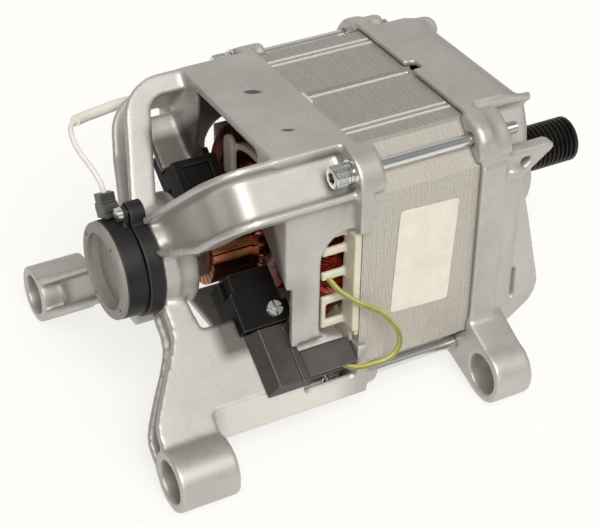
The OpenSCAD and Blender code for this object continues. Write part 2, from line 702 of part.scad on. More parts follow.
// Tie bolts
lock_t = 1.4;
head_x = ear_back_x - washer_t - lock_t - 0.1;
module tie_bolts() color("lightsteelblue") placed() four_corners() difference() {
    union() {
        rod(head_x, boss_front_x + bolt_tip, bolt_d / 2, bolt_c, bolt_c);
        rod(head_x - bolt_head_h, head_x, bolt_head_d / 2, bolt_c, bolt_c);
    }
    translate([head_x - bolt_head_h - 1, bolt_c, bolt_c]) rotate([0, 90, 0])
        cylinder(d = bolt_d * 0.92, h = bolt_head_h * 0.55 + 1, $fn = 6);
}
module washer(x0, x1, r) difference() {
    rod(x0, x1, r, bolt_c, bolt_c);
    rod(x0 - 1, x1 + 1, bolt_d / 2 + 0.1, bolt_c, bolt_c);
}
module flat_washers() color("lightgray") placed() four_corners()
    washer(ear_back_x - washer_t, ear_back_x, bolt_head_d / 2 + 1);
module lock_washers() color("gray") placed() four_corners()
    washer(head_x + 0.05, ear_back_x - washer_t - 0.05, bolt_head_d / 2);

// Brush gear: the near holder on the shelf, the far one half a turn round the shaft
screw_x = holder_x1 - 5;
screw_r = shelf_in + 2.9;
screw_core = 1.4;
module holder_space(g = 0) {
    x = [holder_x0 - g, holder_x1 + g];
    leaf_box(-leg_turn, x, [holder_in - g, shelf_in - 0.8 + g], [-7 - g, holder_top + g]);
    leaf_box(-leg_turn, x, [shelf_in - 1, holder_r + g], [shelf_t + fit - g, holder_top + g]);
    leaf_box(-leg_turn, [holder_x1 - 1, holder_x1 + 3.2 + g], [shelf_in - 1 - g, holder_r - 2 + g],
        [shelf_t + fit - g, holder_top - 2.5 + g]);
}
screw_end = shelf_t - wall - 0.5;
module holder_hole(r) rotate([-leg_turn, 0, 0]) translate([screw_x, screw_r, screw_end - 0.1])
    cylinder(r = r, h = holder_top + 1 - screw_end);
module brush_slot(g, r0, r1) leaf_box(-leg_turn,
    [brush_x - brush_w / 2 - g, brush_x + brush_w / 2 + g], [r0, r1], [-brush_t / 2 - g, brush_t / 2 + g]);
module brush_holder() difference() {
    holder_space();
    brush_slot(0.15, holder_in - 1, shelf_in - 3);
    holder_hole(1.8);
    leaf_box(-leg_turn, [brush_x - 6, brush_x + 6], [holder_in + 3, shelf_in - 4], [-8, -5]);
    leaf_box(-leg_turn, [holder_x0 - 1, brush_x - brush_w / 2 - 2], [holder_in - 1, shelf_in - 8],
        [4, holder_top + 1]);
}
module brush_pair() {
    near_side() children();
    rotate([180, 0, 0]) near_side() children();
}
module near_brush_holder() color("dimgray") placed() near_side() brush_holder();
module far_brush_holder() color("dimgray") placed() rotate([180, 0, 0]) near_side() brush_holder();
brush_tip = bar_r + fit;
module carbon_brushes() color("darkslategray") placed() brush_pair()
    brush_slot(0, brush_tip, brush_tip + brush_l);
module brush_springs() color("gold") placed() brush_pair() rotate([-leg_turn, 0, 0])
    translate([brush_x, brush_tip + brush_l + 0.1, 0]) rotate([-90, 0, 0]) difference() {
        cylinder(d = brush_t - 0.4, h = shelf_in - 3.2 - brush_tip - brush_l);
        translate([0, 0, -1]) cylinder(d = brush_t - 2, h = 40);
    }
module holder_screws() color("lightgray") placed() brush_pair() rotate([-leg_turn, 0, 0])
    translate([screw_x, screw_r, 0]) difference() {
        union() {
            translate([0, 0, screw_end]) cylinder(r = screw_core, h = holder_top + 0.1 - screw_end);
            translate([0, 0, holder_top + 0.05]) cylinder(r = 3.2, h = 2.2);
        }
        translate([0, 0, holder_top + 1.2]) cube([0.9, 8, 3], center = true);
        translate([0, 0, holder_top + 1.2 + 0.6]) cube([8, 0.9, 3], center = true);
    }

// Terminal block on the sloped shelf, with its mouth outwards
module terminal_block() color("dimgray") placed() near_side() difference() {
    union() {
        rotate([-leg_turn, 0, 0]) translate([0, holder_r + fit, 0]) rotate([-90, 0, 0])
            linear_extrude(block_end - holder_r - fit) polygon([
                [block_x0, -shelf_t - fit], [block_x0, -shelf_t - 1], [block_x0 + 4.6, -12],
                [block_x1 - 3.2, -10.4], [block_x1, -9.8], [block_x1, -shelf_t - fit]
            ]);
        leaf_box(-leg_turn, [block_x1 - 0.3, socket_x1], [socket_in, socket_out], [socket_t0, 9]);
    }
    rotate([-leg_turn, 0, 0]) along_x(block_x0 - 1, block_x1 - 0.4)
        polygon([[block_end, shelf_t], [block_end - 3, 13], [block_end + 5, 13], [block_end + 5, shelf_t]]);
    leaf_box(-leg_turn, [block_x1 - 4.2, block_x1 - 3.2], [holder_r + 2, block_end + 1], [9.2, 13]);
    leaf_box(-leg_turn, [block_x1 + 1.2, socket_x1 - 1.2], [socket_in + 1.5, socket_out + 2],
        [socket_t0 + 1.2, 7.8]);
}
blade_n = 5;
blade_step = (socket_x1 - block_x1 - 4) / blade_n;
module terminal_blades() color("gainsboro") placed() near_side() for (i = [0:blade_n - 1])
    leaf_box(-leg_turn, [block_x1 + 2 + i * blade_step + 0.4, block_x1 + 2 + (i + 1) * blade_step - 0.4],
        [socket_in + 1.55, socket_out - 3], [4.2, 5]);

// Wires
module wire(route, d) {
    path = curve(route, 3);
    tube(path, d / 2, 8, [for (p = path) [0.3, 0.2, 1]]);
}
module earth_wire() color("yellowgreen") placed() wire(earth_route, earth_d);
module tacho_lead() color("white") placed() wire(lead_route, lead_d);
module tacho_sleeve() color("ivory") placed() wire(sleeve_route, sleeve_d);
module tacho_plug() color("ivory") placed() translate(plug_at) {
    translate([-2.6, -8.2, -13]) cube([9, 11.4, 12.9]);
    translate([-1, -8.2, -16]) cube([6, 8, 4]);
    translate([plug_stud_at[0] - plug_at[0], side_y - plug_at[1], plug_stud_at[1] - plug_at[2]])
        rotate([-90, 0, 0]) cylinder(r = plug_stud_r, h = 6);
}

module rating_label() color("ivory") placed() translate([1.2, -face - 0.25, 5]) rotate([0, 3, 0])
    cube([label_w, 0.3, label_h], center = true);

// Speed sensor on the hub's rear end
module tacho_clamp() color("dimgray") placed() difference() {
    union() {
        rod(clamp_x, clamp_x + clamp_w, clamp_d / 2);
        rod(clamp_x, clamp_x + clamp_w, 5, 0, lug_z - 1);
        translate([clamp_x, -5, spigot_r + 1]) cube([clamp_w, 10, lug_z - spigot_r - 2]);
    }
    rod(clamp_x - 1, clamp_x + clamp_w + 1, spigot_r + press);
    rod(clamp_x - 1, clamp_x + clamp_w + 1, 1.6, 0, lug_z);
}
module tacho_housing() color("dimgray") placed() difference() {
    union() {
        rod(tacho_x - tacho_l, tacho_x, tacho_d / 2);
        rod(tacho_x - 2, tacho_x, 3, 0, lug_z);
        translate([tacho_x - 2, -3, tacho_d / 2 - 2]) cube([2, 6, lug_z - tacho_d / 2 + 2]);
    }
    rod(tacho_x - tacho_l - 1, tacho_x - 1.6, tacho_d / 2 - 2.2);
    rod(tacho_x - 2, tacho_x + 1, dish_r - 2.5);
    rod(tacho_x - 3, tacho_x + 1, 1.6, 0, lug_z);
}
module tacho_coil() color("chocolate") placed() difference() {
    rod(cap_x + dish_deep + 0.3, tacho_x - 1.7, tacho_d / 2 - 2.3);
    rod(tacho_x - tacho_l, tacho_x, dish_r - 1.5);
}
module tacho_cap() color("lightgray") placed() difference() {
    turned(cap_x) polygon([
        [0, dish_deep - 1], [dish_r, dish_deep - 1], [dish_r + 1.6, 0], [dish_r + 1.6, -cap_t],
        [tacho_d / 2 - 0.6, -cap_t], [tacho_d / 2 - 0.2, -cap_t + 0.5], [tacho_d / 2 - 0.2, 0],
        [dish_r + 3.4, 0], [dish_r + 1, dish_deep], [0, dish_deep]
    ]);
    for (i = [0:3]) rotate([30 + 90 * i, 0, 0]) rod(cap_x - cap_t - 1, cap_x - 0.8, 0.65, tacho_d / 2 - 2.5);
}
module tacho_screw() color("lightsteelblue") placed() difference() {
    union() {
        rod(tacho_x - 2.05, clamp_x + clamp_w, 1.5, 0, lug_z);
        rod(tacho_x - 4.2, tacho_x - 2.05, 2.9, 0, lug_z);
    }
    translate([tacho_x - 4.2, 0, lug_z]) cube([2, 8, 0.8], center = true);
}
module tacho_connector() color("dimgray") placed() difference() {
    along_x(tacho_x - 6.5, tacho_x) rotate(-26) translate([0, tacho_d / 2 + fit]) {
        translate([-5, 0]) square([10, 6]);
        translate([-3.4, 5]) square([6.8, 5]);
        translate([-5.4, 2.5]) square([10.8, 2.4]);
    }
    rod(tacho_x - 7, tacho_x + 1, 3.4, 0, lug_z);
}

// Bearings
module bearing_outer(x, d0, d1, w, ball_r) difference() {
    turned(x) polygon([
        [d1 / 2, 0], [d1 / 2, w], [d0 / 2 + 3.2, w], [d0 / 2 + 3.2, w - 0.6], [d1 / 2 - 2.8, w - 1.2],
        [d1 / 2 - 2.8, 1.2], [d0 / 2 + 3.2, 0.6], [d0 / 2 + 3.2, 0]
    ]);
    turned(x + w / 2) translate([(d0 + d1) / 4, 0]) circle(ball_r + 0.05);
}
module bearing_inner(x, d0, d1, w, ball_r) difference() {
    turned(x) polygon([[d0 / 2 + press, 0], [d0 / 2 + 2.8, 0], [d0 / 2 + 2.8, w], [d0 / 2 + press, w]]);
    turned(x + w / 2) translate([(d0 + d1) / 4, 0]) circle(ball_r + 0.05);
}
module bearing_balls(x, d0, d1, w, ball_r) {
    pitch = (d0 + d1) / 4;
    translate([x + w / 2, 0, 0]) {
        for (i = [0:7]) rotate([45 * i, 0, 0]) translate([0, pitch, 0]) sphere(ball_r);
        difference() {
            rod(-0.9, 0.9, pitch + 0.8);
            rod(-2, 2, pitch - 0.8);
        }
    }
}
rear_bearing_x = hub_rear + rear_wall_t + wave_t;
rear_ball_r = (rear_bearing_od - rear_bearing_bore) * 0.15;
front_ball_r = (front_bearing_od - front_bearing_bore) * 0.15;
module rear_bearing_outer() color("silver") placed()
    bearing_outer(rear_bearing_x, rear_bearing_bore, rear_bearing_od, rear_bearing_w, rear_ball_r);
module rear_bearing_inner() color("lightgray") placed()
    bearing_inner(rear_bearing_x, rear_bearing_bore, rear_bearing_od, rear_bearing_w, rear_ball_r);
module rear_bearing_balls() color("white") placed()
    bearing_balls(rear_bearing_x, rear_bearing_bore, rear_bearing_od, rear_bearing_w, rear_ball_r);
module front_bearing_outer() color("silver") placed()
    bearing_outer(front_bearing_x, front_bearing_bore, front_bearing_od, front_bearing_w, front_ball_r);
module front_bearing_inner() color("lightgray") placed()
    bearing_inner(front_bearing_x, front_bearing_bore, front_bearing_od, front_bearing_w, front_ball_r);
module front_bearing_balls() color("white") placed()
    bearing_balls(front_bearing_x, front_bearing_bore, front_bearing_od, front_bearing_w, front_ball_r);
module wave_washer() color("silver") placed() difference() {
    rod(hub_rear + rear_wall_t + 0.1, rear_bearing_x - 0.1, rear_bearing_od / 2 - 0.3);
    rod(hub_rear, rear_bearing_x + 1, rear_bearing_od / 2 - 3);
}

// Armature
shaft_r = shaft_d / 2;
magnet_x1 = tacho_x - 0.6;
magnet_l = 4.6;
rear_shoulder = rear_bearing_x + rear_bearing_w;
module shaft() color("silver") placed() {
    rod(rear_shoulder, front_bearing_x, shaft_r);
    rod(hub_rear - 1, rear_shoulder, rear_bearing_bore / 2);
    rod(magnet_x1 - magnet_l, hub_rear - 1, magnet_seat_d / 2);
    rod(front_bearing_x, pulley_x - 0.5, front_bearing_bore / 2);
    rod(pulley_x - 0.5, pulley_end - 0.4, pulley_seat_d / 2);
}
armature_r = bore_d / 2 - air_gap;
module armature_core() color("darkgray") placed() along_x(-half, half) difference() {
    circle(armature_r);
    circle(shaft_r + press);
    for (i = [0:armature_slots - 1]) rotate(360 * i / armature_slots) {
        translate([armature_r - 8, 0]) circle(3);
        translate([armature_r - 8, -1]) square([10, 2]);
    }
}
head_out = armature_r - 6;
head_in = shaft_r + 3.5;
module winding_head(x0, x1, r0) turned(x0) polygon([
    [r0, 0], [head_out - 3, 0], [head_out, 3], [head_out, x1 - x0 - 5], [head_out - 5, x1 - x0], [r0, x1 - x0]
]);
wind_x1 = rear(1.5);
wind_x0 = rear(collar_l - 1);
wind_d = 2.2;
module rear_winding_core() color("maroon") placed() winding_head(wind_x0 + 4, wind_x1 - 4, head_in + 1);
module front_winding() color("maroon") placed() winding_head(front(1.5), front(15), head_in);
wind_c = (wind_x0 + wind_x1) / 2;
wind_a = (wind_x1 - wind_x0) / 2 - wind_d / 2;
wind_r = (head_out + head_in) / 2;
wind_b = (head_out - head_in) / 2 + wind_d / 2 + 0.5;
function wind_pt(i) = let (
    f = 360 * i / coil_rings,
    c = cos(f), s = sin(f),
    k = max(abs(c), abs(s)) ^ 0.6,
    a = 350 * i / (armature_turns * coil_rings) + 9 * s,
    r = wind_r + wind_b * s / k)
    [wind_c + wind_a * c / k, r * cos(a), r * sin(a)];
wind_path = [for (i = [0:armature_turns * coil_rings - 1]) wind_pt(i)];
module rear_winding() {
    echo(str("armature winding least gap ", least_gap(wind_path, wind_d, 12)));
    color("maroon") placed() tube(wind_path, wind_d / 2, 6, [for (p = wind_path)
        let (q = unit([0, p[1], p[2]])) unit(p - [wind_c, 0, 0] - wind_r * q)]);
}

bar_depth = 4;
module commutator_hub() color("saddlebrown") placed() difference() {
    rod(bar_rear - 1.2, bar_front + 1.2, bar_r - bar_depth - 0.02);
    rod(bar_rear - 2, bar_front + 2, shaft_r + press);
}
module commutator_bars() color("peru") placed() difference() {
    union() {
        rod(bar_rear, bar_front, bar_r);
        rod(bar_front - 2.4, bar_front, bar_r + 1.4);
    }
    rod(bar_rear - 1, bar_front + 1, bar_r - bar_depth);
    for (i = [0:commutator_bars_n - 1]) rotate([360 * i / commutator_bars_n, 0, 0])
        translate([bar_rear - 1, 0, -0.35]) cube([commutator_l + 2, bar_r + 4, 0.7]);
}

fan_x = front(cover_l - wall - 9);
module fan() color("whitesmoke") placed() difference() {
    union() {
        rod(fan_x, fan_x + 7, shaft_r + 3.5);
        rod(fan_x, fan_x + 1.5, fan_d / 2 - 12);
        for (i = [0:fan_blades - 1]) rotate([360 * i / fan_blades, 0, 0])
            translate([fan_x, shaft_r + 2, -0.8]) cube([7, fan_d / 2 - shaft_r - 2, 1.6]);
    }
    rod(fan_x - 1, fan_x + 8, shaft_r + press);
}
module tacho_magnet() color("darkslategray") placed() difference() {
    rod(magnet_x1 - magnet_l, magnet_x1, dish_r - 3.5);
    rod(magnet_x1 - magnet_l - 1, magnet_x1 + 1, magnet_seat_d / 2 + press);
}
groove_x0 = (pulley_l - groove_n * groove_pitch) / 2;
groove_half = groove_pitch / 2 - 0.3;
module pulley() color([0.12, 0.12, 0.12]) placed() turned(pulley_x) polygon(concat(
    [[pulley_seat_d / 2 + press, 0], [pulley_d / 2 - 0.5, 0], [pulley_d / 2, 0.5]],
    [for (i = [0:groove_n - 1]) let (c = groove_x0 + groove_pitch * (i + 0.5)) each [
        [pulley_d / 2, c - groove_half], [pulley_d / 2 - groove_depth, c - 0.15],
        [pulley_d / 2 - groove_depth, c + 0.15], [pulley_d / 2, c + groove_half]]],
    [[pulley_d / 2, pulley_l - 0.5], [pulley_d / 2 - 0.5, pulley_l], [pulley_seat_d / 2 + press, pulley_l]]
));

rear_frame();
rear_walls();
rear_hub();
near_arm();
far_arm();
near_leg();
far_leg();
front_frame();
stator_core();
rear_insulator();
front_insulator();
upper_field_coil();
lower_field_coil();
upper_coil_core();
lower_coil_core();
tie_bolts();
lock_washers();
flat_washers();
near_brush_holder();
far_brush_holder();
carbon_brushes();
brush_springs();
holder_screws();
terminal_block();
terminal_blades();
earth_wire();
rating_label();
tacho_clamp();
tacho_housing();
tacho_coil();
tacho_cap();
tacho_screw();
tacho_connector();
tacho_lead();
tacho_sleeve();
tacho_plug();
wave_washer();
rear_bearing_outer();
rear_bearing_balls();
rear_bearing_inner();
front_bearing_outer();
front_bearing_balls();
front_bearing_inner();
shaft();
armature_core();
rear_winding();
rear_winding_core();
front_winding();
commutator_hub();
commutator_bars();
fan();
tacho_magnet();
pulley();
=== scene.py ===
import json
import math
import random

import bmesh
import bpy
import numpy as np
from mathutils import Matrix, Vector


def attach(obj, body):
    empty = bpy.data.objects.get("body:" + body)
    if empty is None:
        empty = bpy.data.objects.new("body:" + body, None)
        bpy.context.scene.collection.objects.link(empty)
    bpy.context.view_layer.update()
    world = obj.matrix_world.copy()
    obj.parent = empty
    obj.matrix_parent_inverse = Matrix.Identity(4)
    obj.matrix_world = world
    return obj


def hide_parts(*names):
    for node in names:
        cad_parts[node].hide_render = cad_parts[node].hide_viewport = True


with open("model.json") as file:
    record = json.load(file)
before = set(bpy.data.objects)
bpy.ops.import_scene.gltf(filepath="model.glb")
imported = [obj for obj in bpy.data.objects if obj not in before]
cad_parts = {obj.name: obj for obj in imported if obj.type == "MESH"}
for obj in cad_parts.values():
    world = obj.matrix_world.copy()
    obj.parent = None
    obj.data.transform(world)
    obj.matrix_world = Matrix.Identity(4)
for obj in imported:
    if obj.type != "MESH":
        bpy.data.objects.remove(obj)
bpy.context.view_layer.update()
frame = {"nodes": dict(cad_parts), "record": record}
scene = bpy.context.scene
scene.view_settings.view_transform = "Standard"
shaftAt = np.array((0.00425, 0.0, 0.0673))  # the shaft's axis at the middle of the stack
print("frame loaded:", len(frame["nodes"]), "nodes")


def spot(x, y, z):
    return shaftAt + 0.001 * np.array((x, y, z), float)


def addObject(name, data):
    obj = bpy.data.objects.new(name, data)
    scene.collection.objects.link(obj)
    return obj


# camera, at the photograph's angle
cameraSet = {
    "azimuth": -29.497,
    "elevation": 34.794,
    "roll": 1.083,
    "lens": 105.854,
    "eye": (-331.281, -542.212, 407.929),  # mm from the shaft
}


def makeCamera():
    a, e, r = (math.radians(cameraSet[k]) for k in ("azimuth", "elevation", "roll"))
    back = Vector((math.sin(a) * math.cos(e), -math.cos(a) * math.cos(e), math.sin(e)))
    right = Vector((0, 0, 1)).cross(back).normalized()
    up = back.cross(right)
    right, up = math.cos(r) * right + math.sin(r) * up, math.cos(r) * up - math.sin(r) * right
    eye = spot(*cameraSet["eye"])
    data = bpy.data.cameras.new("photoCamera")
    data.sensor_fit = "HORIZONTAL"
    data.sensor_width = 36
    data.lens = cameraSet["lens"]
    data.clip_start, data.clip_end = 0.02, 20
    obj = addObject("photoCamera", data)
    obj.matrix_world = Matrix([(right[i], up[i], back[i], eye[i]) for i in range(3)] + [(0, 0, 0, 1)])
    scene.camera = obj


makeCamera()
print("camera set")


# node trees, for materials and for geometry
def addNode(tree, kind, inputs=None, **settings):
    made = tree.nodes.new(kind)
    for key, value in settings.items():
        setattr(made, key, value)
    for key, value in (inputs or {}).items():
        if isinstance(value, bpy.types.NodeSocket):
            tree.links.new(value, made.inputs[key])
        else:
            made.inputs[key].default_value = value
    return made


def colour(r, g, b):
    part = [c / 255 for c in (r, g, b)]
    return [c / 12.92 if c < 0.04045 else ((c + 0.055) / 1.055) ** 2.4 for c in part] + [1.0]


def startMaterial(name, metallic, **sockets):
    mat = bpy.data.materials.new(name)
    mat.use_nodes = True
    tree = mat.node_tree
    shader = next(n for n in tree.nodes if n.type == "BSDF_PRINCIPLED")
    shader.inputs["Metallic"].default_value = metallic
    for key, value in sockets.items():
        shader.inputs[key].default_value = value
    return mat, tree, shader


def ramp(tree, value, stops):
    made = addNode(tree, "ShaderNodeValToRGB", {"Fac": value})
    bar = made.color_ramp
    while len(bar.elements) < len(stops):
        bar.elements.new(0.5)
    for element, (at, tone) in zip(bar.elements, stops):
        element.position = at
        element.color = tone
    return made.outputs["Color"]


def span(tree, value, low, high, toLow, toHigh):
    return addNode(tree, "ShaderNodeMapRange", {
        "Value": value, "From Min": low, "From Max": high, "To Min": toLow, "To Max": toHigh}).outputs[0]


def blendColour(tree, factor, a, b, how="MIX"):
    return addNode(tree, "ShaderNodeMix", {0: factor, 6: a, 7: b}, data_type="RGBA", blend_type=how).outputs[2]


def product(tree, values):
    share = values[0]
    for other in values[1:]:
        share = addNode(tree, "ShaderNodeMath", {0: share, 1: other}, operation="MULTIPLY").outputs[0]
    return share


def noise(tree, vector, scale, detail=3.0, rough=0.55):
    return addNode(tree, "ShaderNodeTexNoise", {
        "Vector": vector, "Scale": scale, "Detail": detail, "Roughness": rough}).outputs[0]


# finishes by the record's slots: two tones (sRGB), metal, roughness, cloud and grain per metre, bump
finishSet = {
    "cast_aluminium": dict(dark=(180, 177, 171), light=(198, 195, 190), metal=0.62, rough=(0.42, 0.5), cloud=30,
                           grain=1900, bump=0.1, edge=0.22, specks=240, cavity=0.6),
    "lamination_steel": dict(dark=(190, 185, 175), light=(198, 193, 183), metal=0.25, rough=(0.38, 0.46), cloud=26,
                             grain=1100, bump=0.04, streak=(60, 0.02, 0.02), flatsShade=0.72),
    "zinc_steel": dict(dark=(212, 213, 212), light=(230, 231, 230), metal=1.0, rough=(0.18, 0.28), cloud=120,
                       grain=2600, bump=0.02, edge=0.1, streak=(0.08, 1, 1)),
    "bearing_steel": dict(dark=(186, 187, 188), light=(216, 217, 218), metal=1.0, rough=(0.14, 0.26), cloud=120,
                          grain=1800, bump=0.03),
    "shaft_steel": dict(dark=(160, 159, 156), light=(198, 197, 194), metal=1.0, rough=(0.2, 0.36), cloud=90,
                        grain=1500, bump=0.05, streak=(0.1, 1, 1)),
    "cream_plastic": dict(dark=(205, 198, 178), light=(222, 216, 197), metal=0.0, rough=(0.36, 0.5), cloud=70,
                          grain=1300, bump=0.05),
    "black_plastic": dict(dark=(40, 38, 37), light=(60, 57, 55), metal=0.0, rough=(0.34, 0.48), cloud=60,
                          grain=1500, bump=0.07, edge=0.12),
    "grey_plastic": dict(dark=(150, 147, 138), light=(168, 165, 156), metal=0.0, rough=(0.38, 0.52), cloud=70,
                         grain=1400, bump=0.05),
    "enamelled_copper": dict(dark=(76, 18, 11), light=(156, 46, 30), metal=0.5, rough=(0.2, 0.34), cloud=420,
                             grain=900, bump=0.05),
    "bare_copper": dict(dark=(164, 96, 62), light=(208, 138, 96), metal=1.0, rough=(0.22, 0.4), cloud=160,
                        grain=1600, bump=0.06, streak=(0.2, 1, 1)),
    "tinned_metal": dict(dark=(190, 188, 182), light=(214, 212, 206), metal=1.0, rough=(0.24, 0.4), cloud=140,
                         grain=1500, bump=0.05),
    "carbon": dict(dark=(30, 30, 31), light=(50, 50, 51), metal=0.1, rough=(0.5, 0.7), cloud=200,
                   grain=2000, bump=0.1),
    "ferrite": dict(dark=(48, 46, 46), light=(66, 64, 63), metal=0.2, rough=(0.45, 0.6), cloud=150,
                    grain=1800, bump=0.08),
    "phenolic": dict(dark=(84, 52, 34), light=(108, 70, 46), metal=0.0, rough=(0.4, 0.55), cloud=120,
                     grain=1500, bump=0.06),
    "white_plastic": dict(dark=(218, 215, 205), light=(236, 233, 224), metal=0.0, rough=(0.34, 0.48), cloud=80,
                          grain=1400, bump=0.05),
    "label_film": dict(dark=(220, 215, 200), light=(230, 226, 213), metal=0.0, rough=(0.34, 0.46), cloud=110,
                       grain=2400, bump=0.03),
    "earth_insulation": dict(dark=(188, 178, 72), light=(206, 197, 96), metal=0.0, rough=(0.34, 0.46), cloud=120,
                             grain=1500, bump=0.04),
    "white_insulation": dict(dark=(222, 219, 208), light=(238, 235, 226), metal=0.0, rough=(0.34, 0.46), cloud=120,
                             grain=1500, bump=0.04),
    "sleeve_fabric": dict(dark=(212, 207, 190), light=(230, 226, 212), metal=0.0, rough=(0.55, 0.75), cloud=160,
                          grain=1600, bump=0.1),
    "black_steel": dict(dark=(30, 29, 28), light=(52, 50, 48), metal=0.55, rough=(0.24, 0.4), cloud=120,
                        grain=1600, bump=0.05),
}
plainFinish = {"edge": 0.0, "cavity": 0.0, "specks": 0, "marks": (), "lip": 0.0, "flatsShade": 1.0, "gloss": 0.5,
               "streak": (1, 1, 1)}
shadedFlatLevel = (0.0546, 0.0551)  # m from the shaft, where the painted shade on the stack's top and bottom begins
# painted highlight on the lips of the shelves
lipMask = {"out": (0.0577, 0.0581), "x": (-97, -29), "fade": (0.008, 0.012), "top": -37, "drop": 0.0006}
# painted shade, partly carbon dust, on the inner faces round the brushes
shadeAndDustMask = {"reach": (0.0535, 0.0485), "share": 0.8, "rear": (-86, -80), "front": (-44, -52)}


def greyOf(tree, value):
    return addNode(tree, "ShaderNodeCombineColor", {0: value, 1: value, 2: value}).outputs[0]


def larger(tree, a, b):
    return addNode(tree, "ShaderNodeMath", {0: a, 1: b}, operation="MAXIMUM").outputs[0]


def between(tree, value, ends, toLow, toHigh):
    low, high = (spot(x, 0, 0)[0] for x in ends)
    return span(tree, value, low, high, toLow, toHigh)


def makeFinish(slotName, name=None, **changes):
    s = {**plainFinish, **finishSet[slotName], **changes}
    mat, tree, shader = startMaterial(name or slotName + "Finish", s["metal"], **{"Specular IOR Level": s["gloss"]})
    at = addNode(tree, "ShaderNodeTexCoord").outputs["Object"]
    drawn = addNode(tree, "ShaderNodeMapping", {"Vector": at, "Scale": s["streak"]}).outputs[0]
    clouds = noise(tree, drawn, s["cloud"], 5.0, 0.62)
    grain = noise(tree, at, s["grain"], 3.0, 0.6)
    tone = ramp(tree, clouds, [(0.32, colour(*s["dark"])), (0.68, colour(*s["light"]))])
    fleck = span(tree, grain, 0.3, 0.72, 0.88, 1.08)
    tone = blendColour(tree, 1.0, tone, greyOf(tree, fleck), "MULTIPLY")
    if s["specks"]:  # small pores of the casting
        pores = addNode(tree, "ShaderNodeTexVoronoi", {"Vector": at, "Scale": s["specks"], "Randomness": 1.0})
        pit = span(tree, pores.outputs["Distance"], 0.05, 0.12, 0.55, 1.0)
        tone = blendColour(tree, 0.5, tone, greyOf(tree, pit), "MULTIPLY")
    sharp = addNode(tree, "ShaderNodeNewGeometry").outputs["Pointiness"]
    if s["edge"]:  # painted highlight: convex edges are painted lighter
        edgeHighlightShare = span(tree, sharp, 0.515, 0.6, 0.0, s["edge"])
        tone = blendColour(tree, edgeHighlightShare, tone, [1, 0.99, 0.96, 1])
    if s["cavity"]:  # painted shade in the inner corners, partly dirt
        cornerShadeAndDirt = span(tree, sharp, 0.485, 0.42, 0.0, s["cavity"])
        tone = blendColour(tree, cornerShadeAndDirt, tone, colour(96, 88, 78))
    if s["flatsShade"] < 1:  # painted shade: the stack's top and bottom are painted darker
        height = addNode(tree, "ShaderNodeSeparateXYZ", {0: at}).outputs[2]
        level = addNode(tree, "ShaderNodeMath", {0: height, 1: shaftAt[2]}, operation="SUBTRACT").outputs[0]
        level = addNode(tree, "ShaderNodeMath", {0: level}, operation="ABSOLUTE").outputs[0]
        flatsShadeShare = span(tree, level, *shadedFlatLevel, 1.0, s["flatsShade"])
        tone = blendColour(tree, 1.0, tone, greyOf(tree, flatsShadeShare), "MULTIPLY")
    for place, size, turn in s["marks"]:  # painted shade standing in for small dents and holes
        where = addNode(tree, "ShaderNodeMapping", {
            "Vector": at, "Location": spot(*place), "Rotation": (0, 0, math.radians(turn)),
            "Scale": [0.0005 * v for v in size]}, vector_type="TEXTURE").outputs[0]
        far = addNode(tree, "ShaderNodeVectorMath", {0: where}, operation="LENGTH").outputs["Value"]
        ragged = addNode(tree, "ShaderNodeMath", {0: far, 1: clouds}, operation="ADD").outputs[0]
        tone = blendColour(tree, span(tree, ragged, 1.1, 1.6, 0.85, 0.0), tone, colour(52, 49, 44))
    if s["lip"]:  # painted highlight: the shelves' lips are painted brighter; painted shade, partly carbon dust, darkens the inner faces round the brushes
        x, y, z = addNode(tree, "ShaderNodeSeparateXYZ", {0: at}).outputs
        out = addNode(tree, "ShaderNodeMath", {0: y}, operation="ABSOLUTE").outputs[0]
        low, high = (spot(end, 0, 0)[0] for end in lipMask["x"])
        fadeLow, fadeHigh = lipMask["fade"]
        top = spot(0, 0, lipMask["top"])[2]
        lip = product(tree, [span(tree, out, *lipMask["out"], 0.0, s["lip"]),
                             span(tree, x, low, low + fadeLow, 0.0, 1.0),
                             span(tree, x, high, high - fadeHigh, 0.0, 1.0),
                             span(tree, z, top, top - lipMask["drop"], 0.0, 1.0)])
        tone = blendColour(tree, lip, tone, colour(248, 245, 237))
        around = addNode(tree, "ShaderNodeVectorMath", {0: at, 1: shaftAt}, operation="SUBTRACT").outputs[0]
        around = addNode(tree, "ShaderNodeVectorMath", {0: around, 1: (0, 1, 1)}, operation="MULTIPLY").outputs[0]
        reach = addNode(tree, "ShaderNodeVectorMath", {0: around}, operation="LENGTH").outputs["Value"]
        shadeAndDust = product(tree, [span(tree, reach, *shadeAndDustMask["reach"], 0.0, shadeAndDustMask["share"]),
                              between(tree, x, shadeAndDustMask["rear"], 0.0, 1.0),
                              between(tree, x, shadeAndDustMask["front"], 0.0, 1.0)])
        tone = blendColour(tree, shadeAndDust, tone, colour(58, 52, 45))
    tree.links.new(tone, shader.inputs["Base Color"])
    tree.links.new(span(tree, clouds, 0.3, 0.7, *s["rough"]), shader.inputs["Roughness"])
    height = addNode(tree, "ShaderNodeMath", {0: grain, 1: clouds}, operation="ADD").outputs[0]
    relief = addNode(tree, "ShaderNodeBump", {"Height": height, "Strength": s["bump"], "Distance": 0.0004})
    tree.links.new(relief.outputs[0], shader.inputs["Normal"])
    return mat


